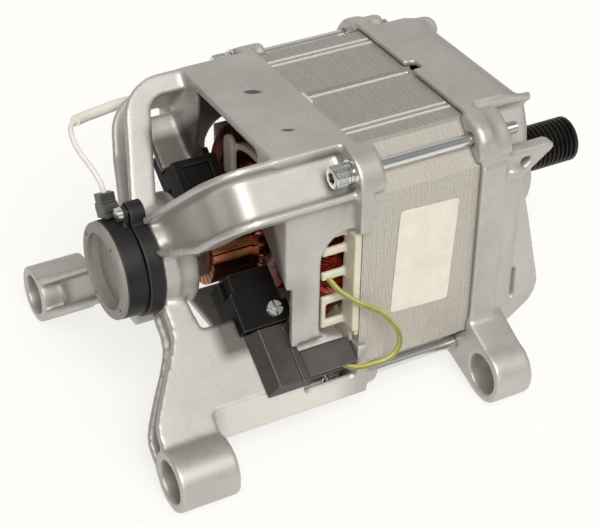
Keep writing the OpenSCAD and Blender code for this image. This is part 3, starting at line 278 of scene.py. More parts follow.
finishes = {name: makeFinish(name) for name in finishSet}
slotOf = {part["node"]: part["material_slot"] for part in frame["record"]["subparts"]}
dentTurn = -25  # degrees, about the upright
# painted shade for two dents in the top plate
plateDentShade = [((-42.8, 9.7, 58.8), (8.0, 3.6, 6), dentTurn), ((-44.3, -23.4, 58.8), (6.6, 2.4, 6), dentTurn)]
# painted shade standing in for the holes in the sensor cap's rim
rimHoleShade = [((-115.2, 18.1 * math.cos(a), 18.1 * math.sin(a)), (4, 2.0, 2.0), 0)
            for a in (math.pi / 6 + math.pi / 2 * k for k in range(4))]
special = {  # by the look that skinSet names, or by node
    # painted shade at the plate's dents, painted highlight on the lips, painted shade partly carbon dust round the
    # brushes
    "rearCasting": makeFinish("cast_aluminium", "dentShadedCasting", marks=plateDentShade, lip=0.5),
    "brushBox": makeFinish("black_plastic", "deepBlack", dark=(14, 12, 11), light=(24, 22, 20),
                           rough=(0.55, 0.7), gloss=0.12),
    "sensor": makeFinish("black_plastic", "softBlack", dark=(24, 22, 21), light=(36, 34, 32),
                         rough=(0.42, 0.55), gloss=0.3),
    "terminal": makeFinish("black_plastic", "paleBlack", dark=(58, 55, 53), light=(74, 71, 68)),
    "tacho_cap": makeFinish(slotOf["tacho_cap"], "holeShadedCap", dark=(130, 128, 120), light=(147, 144, 136),
                            marks=rimHoleShade),
    "holder_screws": makeFinish("zinc_steel", "paleScrew", metal=0.6),
    # painted highlight: the rails and the groove's bead get a lighter copy of the zinc steel
    "railHighlight": makeFinish("zinc_steel", "railPaintedHighlight", dark=(226, 225, 220), light=(240, 239, 234), metal=0.5),
}


def makeEarthFinish():
    mat, tree, shader = startMaterial("earthStripe", 0.0)
    wrap = addNode(tree, "ShaderNodeSeparateXYZ", {0: addNode(tree, "ShaderNodeUVMap", uv_map="wrap").outputs[0]})
    at = addNode(tree, "ShaderNodeTexCoord").outputs["Object"]
    clouds = noise(tree, at, 260, 4.0)
    yellow = ramp(tree, clouds, [(0.3, colour(164, 156, 78)), (0.7, colour(188, 180, 100))])
    green = ramp(tree, clouds, [(0.3, colour(112, 124, 58)), (0.7, colour(132, 142, 72))])
    stripe = addNode(tree, "ShaderNodeMath", {0: wrap.outputs[1], 1: 0.72, 2: 0.07}, operation="COMPARE").outputs[0]
    tree.links.new(blendColour(tree, stripe, yellow, green), shader.inputs["Base Color"])
    tree.links.new(span(tree, clouds, 0.3, 0.7, 0.3, 0.44), shader.inputs["Roughness"])
    relief = addNode(tree, "ShaderNodeBump", {"Height": clouds, "Strength": 0.08, "Distance": 0.0003})
    tree.links.new(relief.outputs[0], shader.inputs["Normal"])
    return mat


def makeSleeveFinish():
    mat, tree, shader = startMaterial("wovenSleeve", 0.0)
    wrap = addNode(tree, "ShaderNodeUVMap", uv_map="wrap").outputs[0]
    strands = []
    for along in (900, -900):  # threads per metre, one set each way
        drawn = addNode(tree, "ShaderNodeMapping", {"Vector": wrap, "Scale": (along, 8, 1)}).outputs[0]
        strands.append(addNode(tree, "ShaderNodeTexWave", {"Vector": drawn, "Scale": 0.35, "Distortion": 0.6},
                               bands_direction="DIAGONAL").outputs[1])
    weave = larger(tree, *strands)
    tone = ramp(tree, weave, [(0.2, colour(222, 218, 202)), (0.8, colour(234, 230, 216))])
    tree.links.new(tone, shader.inputs["Base Color"])
    tree.links.new(span(tree, weave, 0, 1, 0.75, 0.55), shader.inputs["Roughness"])
    relief = addNode(tree, "ShaderNodeBump", {"Height": weave, "Strength": 0.1, "Distance": 0.0002})
    tree.links.new(relief.outputs[0], shader.inputs["Normal"])
    return mat


earthStripe = makeEarthFinish()
wovenSleeve = makeSleeveFinish()
for nodeName, obj in frame["nodes"].items():
    obj.data.materials.clear()
    obj.data.materials.append(special.get(nodeName) or finishes[slotOf[nodeName]])
print("finishes made:", len(finishes))


# meshes
def dress(obj, slotName, body="motor", nodes=(), material=None):
    obj.data.materials.clear()
    obj.data.materials.append(material or finishes[slotName])
    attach(obj, body)
    if nodes:
        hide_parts(*nodes)
    return obj


def settle(obj):
    depsgraph = bpy.context.evaluated_depsgraph_get()
    mesh = bpy.data.meshes.new_from_object(obj.evaluated_get(depsgraph), depsgraph=depsgraph)
    obj.modifiers.clear()
    if obj.type == "MESH":
        obj.data = mesh
        return obj
    made = addObject(obj.name + "Mesh", mesh)
    bpy.data.objects.remove(obj)
    return made


def smoothFaces(mesh, angle=40):
    mesh.polygons.foreach_set("use_smooth", [True] * len(mesh.polygons))
    if angle:
        mesh.set_sharp_from_angle(angle=math.radians(angle))


def smoothRoute(points, steps):
    p = [np.array(q, float) for q in points]
    out = []
    for i in range(len(p) - 1):
        a, b, c, d = p[max(i - 1, 0)], p[i], p[i + 1], p[min(i + 2, len(p) - 1)]
        for k in range(steps):
            s = k / steps
            out.append(0.5 * (2 * b + (c - a) * s + (2 * a - 5 * b + 4 * c - d) * s ** 2
                              + (3 * b - a - 3 * c + d) * s ** 3))
    return np.array(out + [p[-1]])


def acrossPath(p):
    t = np.gradient(p, axis=0)
    t /= np.linalg.norm(t, axis=1)[:, None]
    n = np.cross(t[0], (0.3, 0.2, 1.0))
    out = []
    for direction in t:  # carried along, so the tube doesn't twist
        n = n - direction * n.dot(direction)
        n /= np.linalg.norm(n)
        out.append(n.copy())
    return np.array(out)


def tubeMesh(name, paths, radius, sides, across=acrossPath):
    turn = 2 * math.pi * np.arange(sides) / sides
    verts, faces, wraps, count = [], [], [], 0
    for p in paths:
        p = np.asarray(p, float)
        t = np.gradient(p, axis=0)
        t /= np.linalg.norm(t, axis=1)[:, None]
        u = np.cross(t, across(p))
        u /= np.linalg.norm(u, axis=1)[:, None]
        v = np.cross(t, u)
        ring = p[:, None] + radius * (np.cos(turn)[None, :, None] * u[:, None]
                                      + np.sin(turn)[None, :, None] * v[:, None])
        verts.append(ring.reshape(-1, 3))
        along = np.concatenate([[0], np.cumsum(np.linalg.norm(np.diff(p, axis=0), axis=1))])
        for i in range(len(p) - 1):
            for k in range(sides):
                a, b = count + i * sides + k, count + i * sides + (k + 1) % sides
                faces.append((a, b, b + sides, a + sides))
                start, end = k / sides, (k + 1) / sides
                wraps += [(along[i], start), (along[i], end), (along[i + 1], end), (along[i + 1], start)]
        last = count + (len(p) - 1) * sides
        faces.append(tuple(range(count + sides - 1, count - 1, -1)))
        faces.append(tuple(range(last, last + sides)))
        wraps += [(0, 0)] * sides + [(along[-1], 0)] * sides
        count += len(p) * sides
    mesh = bpy.data.meshes.new(name)
    mesh.from_pydata(np.concatenate(verts).tolist(), [], faces)
    layer = mesh.uv_layers.new(name="wrap")
    layer.data.foreach_set("uv", np.array(wraps, np.float32).ravel())
    smoothFaces(mesh, 50)
    return addObject(name, mesh)


# cords: the routes of the solids, in mm from the shaft
cordSet = {
    "earthLead": dict(node="earth_wire", slot="earth_insulation", d=2.4, far="object", stiff="medium",
                      material=earthStripe, route=[
        (-39, -46.5, 2.5), (-38, -49, 0.5), (-35.5, -52.5, -3), (-31, -57.8, -6), (-26, -60.5, -9), (-21.5, -62, -12),
        (-17.5, -63, -17), (-14.2, -63.5, -22.5), (-13.2, -64, -28), (-15, -64, -32.5), (-19, -64, -35),
        (-24, -63, -36), (-28.5, -61.5, -37), (-32, -59.5, -37.5), (-35, -57, -37), (-36.5, -55, -36)]),
    "sensorLead": dict(node="tacho_lead", slot="white_insulation", d=2.2, far="object", stiff="limp",
                       material=None, route=[
        (-107.5, 13.2, 27), (-108, 15.5, 31.5), (-109.5, 20, 36), (-111.5, 27, 40.5), (-111.5, 34, 43.5),
        (-109.5, 40, 44.8), (-106, 44, 44.5), (-103, 46, 43.8)]),
    "sensorSleeve": dict(node="tacho_sleeve", slot="sleeve_fabric", d=4.6, far="object", stiff="medium",
                         material=wovenSleeve, route=[
        (-106, 44, 44.5), (-99.5, 49, 42.4), (-90.5, 54, 40.2), (-82, 58, 38.6), (-75.5, 60, 37.6), (-68, 61, 36),
        (-62, 61.2, 33.5), (-58, 61, 29.5), (-56.5, 60.8, 26)]),
}


def makeCords():
    for name, s in cordSet.items():
        path = smoothRoute([spot(*p) for p in s["route"]], 5)
        obj = tubeMesh(name, [path], 0.0005 * s["d"], 16)
        dress(obj, s["slot"], "motor", [s["node"]], s["material"])


makeCords()


# castings and mouldings: the solid's own shape with its edges eased
def gridOf(mesh):
    corners = np.empty(len(mesh.loops), int)
    mesh.loops.foreach_get("vertex_index", corners)
    starts = np.empty(len(mesh.polygons), int)
    mesh.polygons.foreach_get("loop_start", starts)
    sizes = np.empty(len(mesh.polygons), int)
    mesh.polygons.foreach_get("loop_total", sizes)
    a, b = corners[starts], corners[starts + 1]
    c, d = corners[starts + 2], corners[starts + sizes - 1]
    return a, b, c, d


def vertexNormals(co, quads):
    a, b, c, d = quads
    flat = np.cross(co[c] - co[a], co[d] - co[b])
    out = np.zeros_like(co)
    for corner in quads:
        for k in range(3):
            out[:, k] += np.bincount(corner, weights=flat[:, k], minlength=len(co))
    return out / np.maximum(np.linalg.norm(out, axis=1), 1e-12)[:, None]


def easeEdges(mesh, convex, concave):
    count = len(mesh.vertices)
    co = np.empty(count * 3)
    mesh.vertices.foreach_get("co", co)
    co = co.reshape(-1, 3)
    ends = np.empty(len(mesh.edges) * 2, int)
    mesh.edges.foreach_get("vertices", ends)
    a, b = np.concatenate([ends[0::2], ends[1::2]]), np.concatenate([ends[1::2], ends[0::2]])
    near = np.bincount(a, minlength=count)[:, None]
    quads = gridOf(mesh)
    for turn in range(max(convex, concave)):
        step = np.stack([np.bincount(a, weights=co[b, k], minlength=count) for k in range(3)], 1) / near - co
        if turn >= convex:  # only inner corners fill further
            step[(step * vertexNormals(co, quads)).sum(1) <= 0] = 0
        if turn >= concave:
            step[(step * vertexNormals(co, quads)).sum(1) > 0] = 0
        co = co + 0.5 * step
    mesh.vertices.foreach_set("co", co.ravel())
    mesh.update()


def copyOf(nodeNames, name):
    bm = bmesh.new()
    for nodeName in nodeNames:
        bm.from_mesh(frame["nodes"][nodeName].data)
    bmesh.ops.remove_doubles(bm, verts=bm.verts, dist=1e-6)
    mesh = bpy.data.meshes.new(name)
    bm.to_mesh(mesh)
    bm.free()
    return addObject(name, mesh)


castNodes = ["rear_frame", "rear_walls", "rear_hub", "near_arm", "far_arm", "near_leg", "far_leg"]
skinSet = {  # piece: nodes, slot, special finish, voxel in mm, passes over outer and inner edges
    "rearCasting": (castNodes, "cast_aluminium", "rearCasting", 0.85, 3, 14),
    "frontCasting": (["front_frame"], "cast_aluminium", None, 0.9, 3, 12),
    "rearInsulation": (["rear_insulator"], "cream_plastic", None, 0.5, 2, 3),
    "nearBrushBox": (["near_brush_holder"], "black_plastic", "brushBox", 0.35, 2, 3),
    "farBrushBox": (["far_brush_holder"], "black_plastic", "brushBox", 0.35, 2, 3),
    "terminalShell": (["terminal_block"], "black_plastic", "terminal", 0.35, 2, 3),
    "sensorClamp": (["tacho_clamp"], "black_plastic", "sensor", 0.35, 2, 3),
    "sensorHousing": (["tacho_housing"], "black_plastic", "sensor", 0.4, 2, 3),
    "sensorConnector": (["tacho_connector"], "black_plastic", None, 0.25, 2, 3),
    "sensorPlug": (["tacho_plug"], "white_plastic", None, 0.3, 2, 3),
}


def makeSkins():
    for name, (nodeNames, slotName, look, voxel, convex, concave) in skinSet.items():
        obj = copyOf(nodeNames, name)
        grid = obj.modifiers.new("grid", "REMESH")
        grid.mode = "VOXEL"
        grid.voxel_size = 0.001 * voxel
        settle(obj)
        easeEdges(obj.data, convex, concave)
        smoothFaces(obj.data, 0)
        dress(obj, slotName, "motor", nodeNames, special.get(look))
        print(name, "faces", len(obj.data.polygons))


makeSkins()


# geometry node trees
def startTree(name, inputs):
    tree = bpy.data.node_groups.new(name, "GeometryNodeTree")
    tree.interface.new_socket("Geometry", in_out="INPUT", socket_type="NodeSocketGeometry")
    for label, kind, value in inputs:
        socket = tree.interface.new_socket(label, in_out="INPUT", socket_type="NodeSocket" + kind)
        if value is not None:
            socket.default_value = value
    tree.interface.new_socket("Geometry", in_out="OUTPUT", socket_type="NodeSocketGeometry")
    return tree, tree.nodes.new("NodeGroupInput").outputs, tree.nodes.new("NodeGroupOutput").inputs


def growTree(obj, tree, values):
    grown = obj.modifiers.new(tree.name, "NODES")
    grown.node_group = tree
    for item in tree.interface.items_tree:
        if item.in_out == "INPUT" and item.name in values:
            grown[item.identifier] = values[item.name]
    return settle(obj)


def endTree(tree, geometry, material, out):
    whole = addNode(tree, "GeometryNodeRealizeInstances", {0: geometry}).outputs[0]
    painted = addNode(tree, "GeometryNodeSetMaterial", {"Geometry": whole, "Material": material}).outputs[0]
    tree.links.new(painted, out[0])


# lamination stack: one sheet repeated along the shaft
sheetSet = {"sheets": 86, "length": 56.0, "face": 56.0, "cut": 15.5, "bore": 32.6, "gap": 0.09, "wander": 0.04,
            "seed": 4, "groove": (3, 0.8), "neck": 7, "slot": (35.7, 46.4), "slotTurn": 27}


def sheetOutline():
    s = sheetSet
    f, c = s["face"], s["face"] - s["cut"]
    g, deep = s["groove"]
    outer = [(f, -c), (f, c), (c, f), (g, f), (g, f - deep), (-g, f - deep), (-g, f), (-c, f),
             (-f, c), (-f, -c), (-c, -f), (-g, -f), (-g, deep - f), (g, deep - f), (g, -f), (c, -f)]
    inner = []
    bore, (slotIn, slotOut), slotTurn = s["bore"], s["slot"], math.radians(s["slotTurn"])
    for side in (0, math.pi):
        neck, mouth = math.asin(s["neck"] / bore), math.asin(s["neck"] / slotIn)
        polar = [(bore, -neck), (slotIn, -mouth), (slotIn, -slotTurn)]
        polar += [(slotOut, slotTurn * (k / 6 - 1)) for k in range(13)]
        polar += [(slotIn, slotTurn), (slotIn, mouth), (bore, neck)]
        polar += [(bore, neck + (math.pi - 2 * neck) * k / 20) for k in range(1, 20)]
        inner += [(r * math.cos(a + side), r * math.sin(a + side)) for r, a in polar]
    curve = bpy.data.curves.new("sheetOutline", "CURVE")
    curve.dimensions = "2D"
    for loop in (outer, inner):
        line = curve.splines.new("POLY")
        line.points.add(len(loop) - 1)
        line.points.foreach_set("co", [v for y, z in loop for v in (0.001 * y, 0.001 * z, 0, 1)])
        line.use_cyclic_u = True
    return addObject("laminations", curve)


def makeStack():
    s = sheetSet
    tree, given, out = startTree("sheetStack", [
        ("Sheets", "Int", 10), ("Pitch", "Float", 0.0006), ("Gap", "Float", 0.0001), ("Wander", "Float", 0.0),
        ("Seed", "Int", 0), ("Start", "Vector", None), ("Steel", "Material", None)])
    flat = addNode(tree, "GeometryNodeFillCurve", {0: given["Geometry"]}).outputs[0]
    thick = addNode(tree, "ShaderNodeMath", {0: given["Pitch"], 1: given["Gap"]}, operation="SUBTRACT").outputs[0]
    raised = addNode(tree, "GeometryNodeExtrudeMesh", {
        "Mesh": flat, "Offset Scale": thick, "Individual": False}).outputs[0]
    under = addNode(tree, "GeometryNodeFlipFaces", {0: flat}).outputs[0]
    both = addNode(tree, "GeometryNodeJoinGeometry")
    tree.links.new(raised, both.inputs[0])
    tree.links.new(under, both.inputs[0])
    sheet = addNode(tree, "GeometryNodeMergeByDistance", {"Geometry": both.outputs[0], "Distance": 1e-6}).outputs[0]
    step = addNode(tree, "ShaderNodeCombineXYZ", {0: given["Pitch"]}).outputs[0]
    row = addNode(tree, "GeometryNodeMeshLine", {
        "Count": given["Sheets"], "Start Location": given["Start"], "Offset": step}).outputs[0]
    less = addNode(tree, "ShaderNodeMath", {0: given["Wander"], 1: -1.0}, operation="MULTIPLY").outputs[0]
    low = addNode(tree, "ShaderNodeCombineXYZ", {1: less, 2: less}).outputs[0]
    high = addNode(tree, "ShaderNodeCombineXYZ", {1: given["Wander"], 2: given["Wander"]}).outputs[0]
    shift = addNode(tree, "FunctionNodeRandomValue", {0: low, 1: high, "Seed": given["Seed"]},
                    data_type="FLOAT_VECTOR").outputs[0]
    loose = addNode(tree, "GeometryNodeSetPosition", {"Geometry": row, "Offset": shift}).outputs[0]
    stack = addNode(tree, "GeometryNodeInstanceOnPoints", {
        "Points": loose, "Instance": sheet, "Rotation": (math.pi / 2, 0, math.pi / 2)}).outputs[0]
    endTree(tree, stack, given["Steel"], out)
    pitch = 0.001 * s["length"] / s["sheets"]
    obj = growTree(sheetOutline(), tree, {
        "Sheets": s["sheets"], "Pitch": pitch, "Gap": 0.001 * s["gap"], "Wander": 0.001 * s["wander"],
        "Seed": s["seed"], "Start": tuple(spot(-s["length"] / 2 + s["gap"] / 2, 0, 0)),
        "Steel": finishes["lamination_steel"]})
    obj.name = "laminationStack"
    dress(obj, "lamination_steel", "motor", ["stator_core"])
    print("laminationStack faces", len(obj.data.polygons))


makeStack()

railSet = {"y": 30.8, "z": 56.0, "gap": 1.65, "radius": 0.62, "from": -24.8, "to": 24.8, "weldZ": 55.5}


def makeRails():
    s = railSet
    paths = []
    for z in (s["z"], -s["z"]):
        for y in (s["y"], -s["y"]):
            for d in (s["gap"], -s["gap"]):
                paths.append([spot(x, y + d, z) for x in np.linspace(s["from"], s["to"], 12)])
        weld = math.copysign(s["weldZ"], z)  # an uneven bead along the groove
        paths.append([spot(x, 0.1 * math.sin(5 * x), weld + 0.06 * math.sin(7 * x))
                      for x in np.linspace(s["from"], s["to"], 90)])
    obj = tubeMesh("stackRails", paths, 0.001 * s["radius"], 10)
    dress(obj, "zinc_steel", material=special["railHighlight"])


makeRails()

tabSet = {"x": (-27.2, -22.8), "y": (-5.6, 3.2), "z": 55.9, "thick": 1.2, "round": 0.7}


def makeTab():
    # the tongue of the insulation at the rear end of the top groove
    s = tabSet
    (x0, x1), (y0, y1), r = s["x"], s["y"], s["round"]
    edge = []
    for cx, cy, start in ((x1 - r, y1 - r, 0), (x0 + r, y1 - r, 90), (x0 + r, y0 + r, 180), (x1 - r, y0 + r, 270)):
        turns = [math.radians(start + 18 * k) for k in range(6)]
        edge += [(cx + r * math.cos(a), cy + r * math.sin(a)) for a in turns]
    bm = bmesh.new()
    mid = ((x0 + x1) / 2, (y0 + y1) / 2)
    rows = []
    for up, share in ((0, 1), (s["thick"] * 0.7, 1), (s["thick"] * 0.92, 0.95), (s["thick"], 0.86)):
        rows.append([bm.verts.new(spot(mid[0] + (x - mid[0]) * share, mid[1] + (y - mid[1]) * share, s["z"] + up))
                     for x, y in edge])
    for a, b in zip(rows, rows[1:]):
        for k in range(len(edge)):
            n = (k + 1) % len(edge)
            bm.faces.new((a[k], a[n], b[n], b[k]))
    bm.faces.new(rows[0])
    bm.faces.new(rows[-1])
    bmesh.ops.recalc_face_normals(bm, faces=bm.faces)
    mesh = bpy.data.meshes.new("grooveTab")
    bm.to_mesh(mesh)
    bm.free()
    smoothFaces(mesh, 40)
    dress(addObject("grooveTab", mesh), "cream_plastic")


makeTab()


# windings: round wire laid turn by turn
fieldSet = {"wire": 1.0, "step": 1.04, "turns": 14, "layers": 8, "outer": 44.2, "layerStep": 0.98, "round": 7.0,
            "seed": 11, "stackHalf": 28, "clear": 3, "arc": 44, "ends": 7.6 * 2.2}


def roundedLoop(x, s, r):
    # one turn, axial and along the arc, with rounded corners
    out = []
    for k in range(17):
        out.append((-x, (s - r) * (k / 8 - 1)))
    for k in range(1, 6):
        a = math.pi - math.pi / 2 * k / 6
        out.append((-(x - r) + r * math.cos(a), (s - r) + r * math.sin(a)))
    out += [(u * (x - r), s) for u in (-0.98, 0.0, 0.98)]
    for k in range(1, 6):
        a = math.pi / 2 - math.pi / 2 * k / 6
        out.append(((x - r) + r * math.cos(a), (s - r) + r * math.sin(a)))
    for k in range(17):
        out.append((x, (s - r) * (1 - k / 8)))
    for k in range(1, 6):
        a = -math.pi / 2 * k / 6
        out.append(((x - r) + r * math.cos(a), -(s - r) + r * math.sin(a)))
    out += [(u * (x - r), -s) for u in (0.98, 0.0, -0.98)]
    for k in range(1, 6):
        a = -math.pi / 2 - math.pi / 2 * k / 6
        out.append((-(x - r) + r * math.cos(a), -(s - r) + r * math.sin(a)))
    return out


def fieldPaths(lower):
    s = fieldSet
    pick = random.Random(s["seed"] + lower)
    paths = []
    for layer in range(s["layers"]):
        radius = s["outer"] - layer * s["layerStep"]
        path = []
        for turn in range(s["turns"]):
            wave, lift = pick.uniform(0, 6.28), pick.uniform(-0.06, 0.06)
            grow = s["step"] * turn
            x = s["stackHalf"] + s["clear"] + s["wire"] / 2 + grow
            reach = s["arc"] * math.pi / 2 - s["ends"] + grow
            loop = roundedLoop(x, reach, s["round"])
            for k, (q0, q1) in enumerate(loop):
                part = s["step"] * k / len(loop)
                q0 += math.copysign(part, q0) * min(1, abs(q0) / x)
                q1 += math.copysign(part, q1) * min(1, abs(q1) / reach)
                a = math.pi / 2 - q1 / s["arc"]
                r = radius + lift + 0.05 * math.sin(wave + 9 * k / len(loop))
                y, z = r * math.cos(a), r * math.sin(a)
                path.append(spot(q0, -y, -z) if lower else spot(q0, y, z))
        paths.append(path)
    return paths


def fromShaft(p):
    out = p - shaftAt
    out[:, 0] = 0
    return out / np.linalg.norm(out, axis=1)[:, None]


def makeFieldCoils():
    for lower, name, nodes in ((0, "upperFieldWinding", ["upper_field_coil", "upper_coil_core"]),
                               (1, "lowerFieldWinding", ["lower_field_coil", "lower_coil_core"])):
        obj = tubeMesh(name, fieldPaths(lower), 0.0005 * fieldSet["wire"], 6, fromShaft)
        dress(obj, "enamelled_copper", "motor", nodes)
        print(name, "faces", len(obj.data.polygons))


makeFieldCoils()

headSet = {  # armature winding heads: along the shaft, and radii
    "rearArmatureWinding": dict(span=(-46.4, -29.5), radii=(12.5, 26.0), nodes=["rear_winding", "rear_winding_core"]),
    "frontArmatureWinding": dict(span=(29.5, 43.0), radii=(12.5, 26.0), nodes=["front_winding"]),
}
headWire = {"d": 1.35, "turns": 104, "rings": 24, "seed": 5, "bulge": 0.9, "under": 1.3, "sweep": 358, "slant": 16}


def makeHeads():
    w = headWire
    for name, s in headSet.items():
        pick = random.Random(w["seed"])
        (x0, x1), (r0, r1) = s["span"], s["radii"]
        mid, halfLength = (x0 + x1) / 2, (x1 - x0) / 2 - w["d"] / 2
        rMid, rHalf = (r0 + r1) / 2, (r1 - r0) / 2 + w["bulge"]
        paths = []
        for depth in (0.0, w["under"]):
            path = []
            for i in range(w["turns"] * w["rings"]):
                f = 2 * math.pi * i / w["rings"]
                if i % w["rings"] == 0:
                    lift = pick.uniform(-0.35, 0.25)
                c, sn = math.cos(f), math.sin(f)
                k = max(abs(c), abs(sn)) ** 0.6
                a = math.radians(w["sweep"] * i / (w["turns"] * w["rings"])) + math.radians(w["slant"]) * sn
                r = rMid + (rHalf - depth + lift) * sn / k
                path.append(spot(mid + (halfLength - depth) * c / k, r * math.cos(a), r * math.sin(a)))
            paths.append(path)

        def fromHead(p):
            out = fromShaft(p) * 0.001 * rMid
            out = p - shaftAt - out
            out[:, 0] = p[:, 0] - shaftAt[0] - 0.001 * mid
            return out / np.linalg.norm(out, axis=1)[:, None]

        obj = tubeMesh(name, paths, 0.0005 * w["d"], 6, fromHead)
        dress(obj, "enamelled_copper", "rotor", s["nodes"])
        print(name, "faces", len(obj.data.polygons))


makeHeads()

sensorCoilSet = {"span": (-109.4, -106.1), "radii": (13.2, 18.1), "wire": 0.55, "step": 0.6, "around": 36}


def makeSensorCoil():
    s = sensorCoilSet
    (x0, x1), (r0, r1) = s["span"], s["radii"]
    step, around = s["step"], s["around"]
    turns, layers = int((x1 - x0) / step), int((r1 - r0) / step)
    path = []
    for layer in range(layers):
        r = r0 + step / 2 + step * layer
        for i in range(turns * around):
            way = i / (turns * around)
            x = x0 + step / 2 + (x1 - x0 - step) * (way if layer % 2 == 0 else 1 - way)
            a = 2 * math.pi * (i % around) / around
            path.append(spot(x, r * math.cos(a), r * math.sin(a)))
    obj = tubeMesh("sensorWinding", [path], 0.0005 * s["wire"], 5, fromShaft)
    dress(obj, "enamelled_copper", "motor", ["tacho_coil"])


makeSensorCoil()

springSet = {"from": 29.6, "to": 32.2, "turns": 3, "radius": 2.0, "wire": 0.5, "x": -63.5, "turn": 37.7,
             "around": 24}


def makeSprings():
    s = springSet
    a = math.radians(-s["turn"])
    outward, across = np.array((0, math.cos(a), math.sin(a))), np.array((0, -math.sin(a), math.cos(a)))
    near = np.array((1, -1, 1))
    paths = [[], []]
    steps = s["turns"] * s["around"]
    for i in range(steps + 1):
        f = 2 * math.pi * i / s["around"]
        along = s["from"] + (s["to"] - s["from"]) * i / steps
        p = np.array((s["x"] + s["radius"] * math.cos(f), 0, 0)) + outward * along + across * s["radius"] * math.sin(f)
        paths[0].append(spot(*(p * near)))
        paths[1].append(spot(*(p * near * np.array((1, -1, -1)))))
    obj = tubeMesh("brushSprings", paths, 0.0005 * s["wire"], 8)
    dress(obj, slotOf["brush_springs"], "motor", ["brush_springs"])


makeSprings()
print("windings made")


# tie bolts: socket heads, plain shanks and threaded ends
boltSet = {"at": 50.23, "head": (-40.0, -33.5), "headR": 4.5, "shankR": 2.5, "socketR": 2.35, "socketX": -36.4,
           "thread": (37.0, 45.5), "pitch": 0.8, "around": 36}


def boltRings():
    s = boltSet
    h0, h1 = s["head"]
    rings = [(s["socketX"], s["socketR"], 1), (h0 + 0.25, s["socketR"], 1), (h0, s["socketR"] + 0.25, 0.6),
             (h0, s["headR"] - 0.7, 0), (h0 + 0.15, s["headR"] - 0.3, 0), (h0 + 0.5, s["headR"], 0),
             (h1 - 0.2, s["headR"], 0), (h1, s["headR"] - 0.2, 0), (h1, s["shankR"], 0),
             (s["thread"][0], s["shankR"], 0)]
    x = s["thread"][0]
    while x < s["thread"][1] - s["pitch"]:
        rings += [(x + 0.1, s["shankR"], 0), (x + 0.4, s["shankR"] - 0.38, 0), (x + 0.7, s["shankR"], 0)]
        x += s["pitch"]
    return rings + [(s["thread"][1] - 0.4, s["shankR"] - 0.1, 0), (s["thread"][1], s["shankR"] - 0.6, 0)]


def makeBolts():
    s = boltSet
    rings, around = boltRings(), s["around"]
    bm = bmesh.new()
    for y in (s["at"], -s["at"]):
        for z in (s["at"], -s["at"]):
            rows = []
            for x, r, hexed in rings:
                row = []
                for k in range(around):
                    a = 2 * math.pi * k / around
                    corner = math.cos(math.pi / 6) / math.cos(a % (math.pi / 3) - math.pi / 6)
                    size = r * (1 + hexed * (corner - 1))
                    row.append(bm.verts.new(spot(x, y + size * math.cos(a), z + size * math.sin(a))))
                rows.append(row)
            for i in range(len(rows) - 1):
                for k in range(around):
                    n = (k + 1) % around
                    bm.faces.new((rows[i][k], rows[i + 1][k], rows[i + 1][n], rows[i][n]))
            bm.faces.new(rows[0])
            bm.faces.new(rows[-1])
    bmesh.ops.recalc_face_normals(bm, faces=bm.faces)
    mesh = bpy.data.meshes.new("tieBolts")
    bm.to_mesh(mesh)
    bm.free()
    smoothFaces(mesh, 35)
    dress(addObject("tieBolts", mesh), "zinc_steel", "motor", ["tie_bolts"])


makeBolts()

knurlSet = {"ribs": 40, "radius": 4.5, "length": 4.6, "depth": 0.16, "x": -36.9}


def makeKnurls():
    # straight ribs round the four heads
    s = knurlSet
    tree, given, out = startTree("knurlRing", [
        ("Ribs", "Int", 12), ("Radius", "Float", 0.0045), ("Length", "Float", 0.004), ("Depth", "Float", 0.0002),
        ("Steel", "Material", None)])
    ring = addNode(tree, "GeometryNodeMeshCircle", {"Vertices": given["Ribs"], "Radius": given["Radius"]}).outputs[0]
    where = addNode(tree, "GeometryNodeInputPosition").outputs[0]
    facing = addNode(tree, "FunctionNodeAlignEulerToVector", {"Vector": where}, axis="X").outputs[0]
    rib = addNode(tree, "GeometryNodeMeshCylinder", {
        "Vertices": 6, "Radius": given["Depth"], "Depth": given["Length"]}).outputs[0]
    ribs = addNode(tree, "GeometryNodeInstanceOnPoints", {
        "Points": ring, "Instance": rib, "Rotation": facing}).outputs[0]
    heads = addNode(tree, "GeometryNodeInstanceOnPoints", {
        "Points": given["Geometry"], "Instance": ribs, "Rotation": (0, math.pi / 2, 0)}).outputs[0]
    endTree(tree, heads, given["Steel"], out)
    mesh = bpy.data.meshes.new("boltKnurls")
    at = boltSet["at"]
    mesh.from_pydata([tuple(spot(s["x"], y, z)) for y in (at, -at) for z in (at, -at)], [], [])
    obj = growTree(addObject("boltKnurls", mesh), tree, {
        "Ribs": s["ribs"], "Radius": 0.001 * s["radius"], "Length": 0.001 * s["length"], "Depth": 0.001 * s["depth"],
        "Steel": finishes["zinc_steel"]})
    dress(obj, "zinc_steel")


makeKnurls()

hookSet = {"bars": 24, "x": -53.6, "radius": 18.2, "wireR": 0.0006, "bend": [  # wire and bend in m
    (-0.0006, 0, -0.001), (0.0004, 0, -0.0006), (0.0012, 0, 0.0002), (0.0013, 0, 0.0014), (0.0004, 0, 0.0022),
    (-0.001, 0, 0.0026)]}


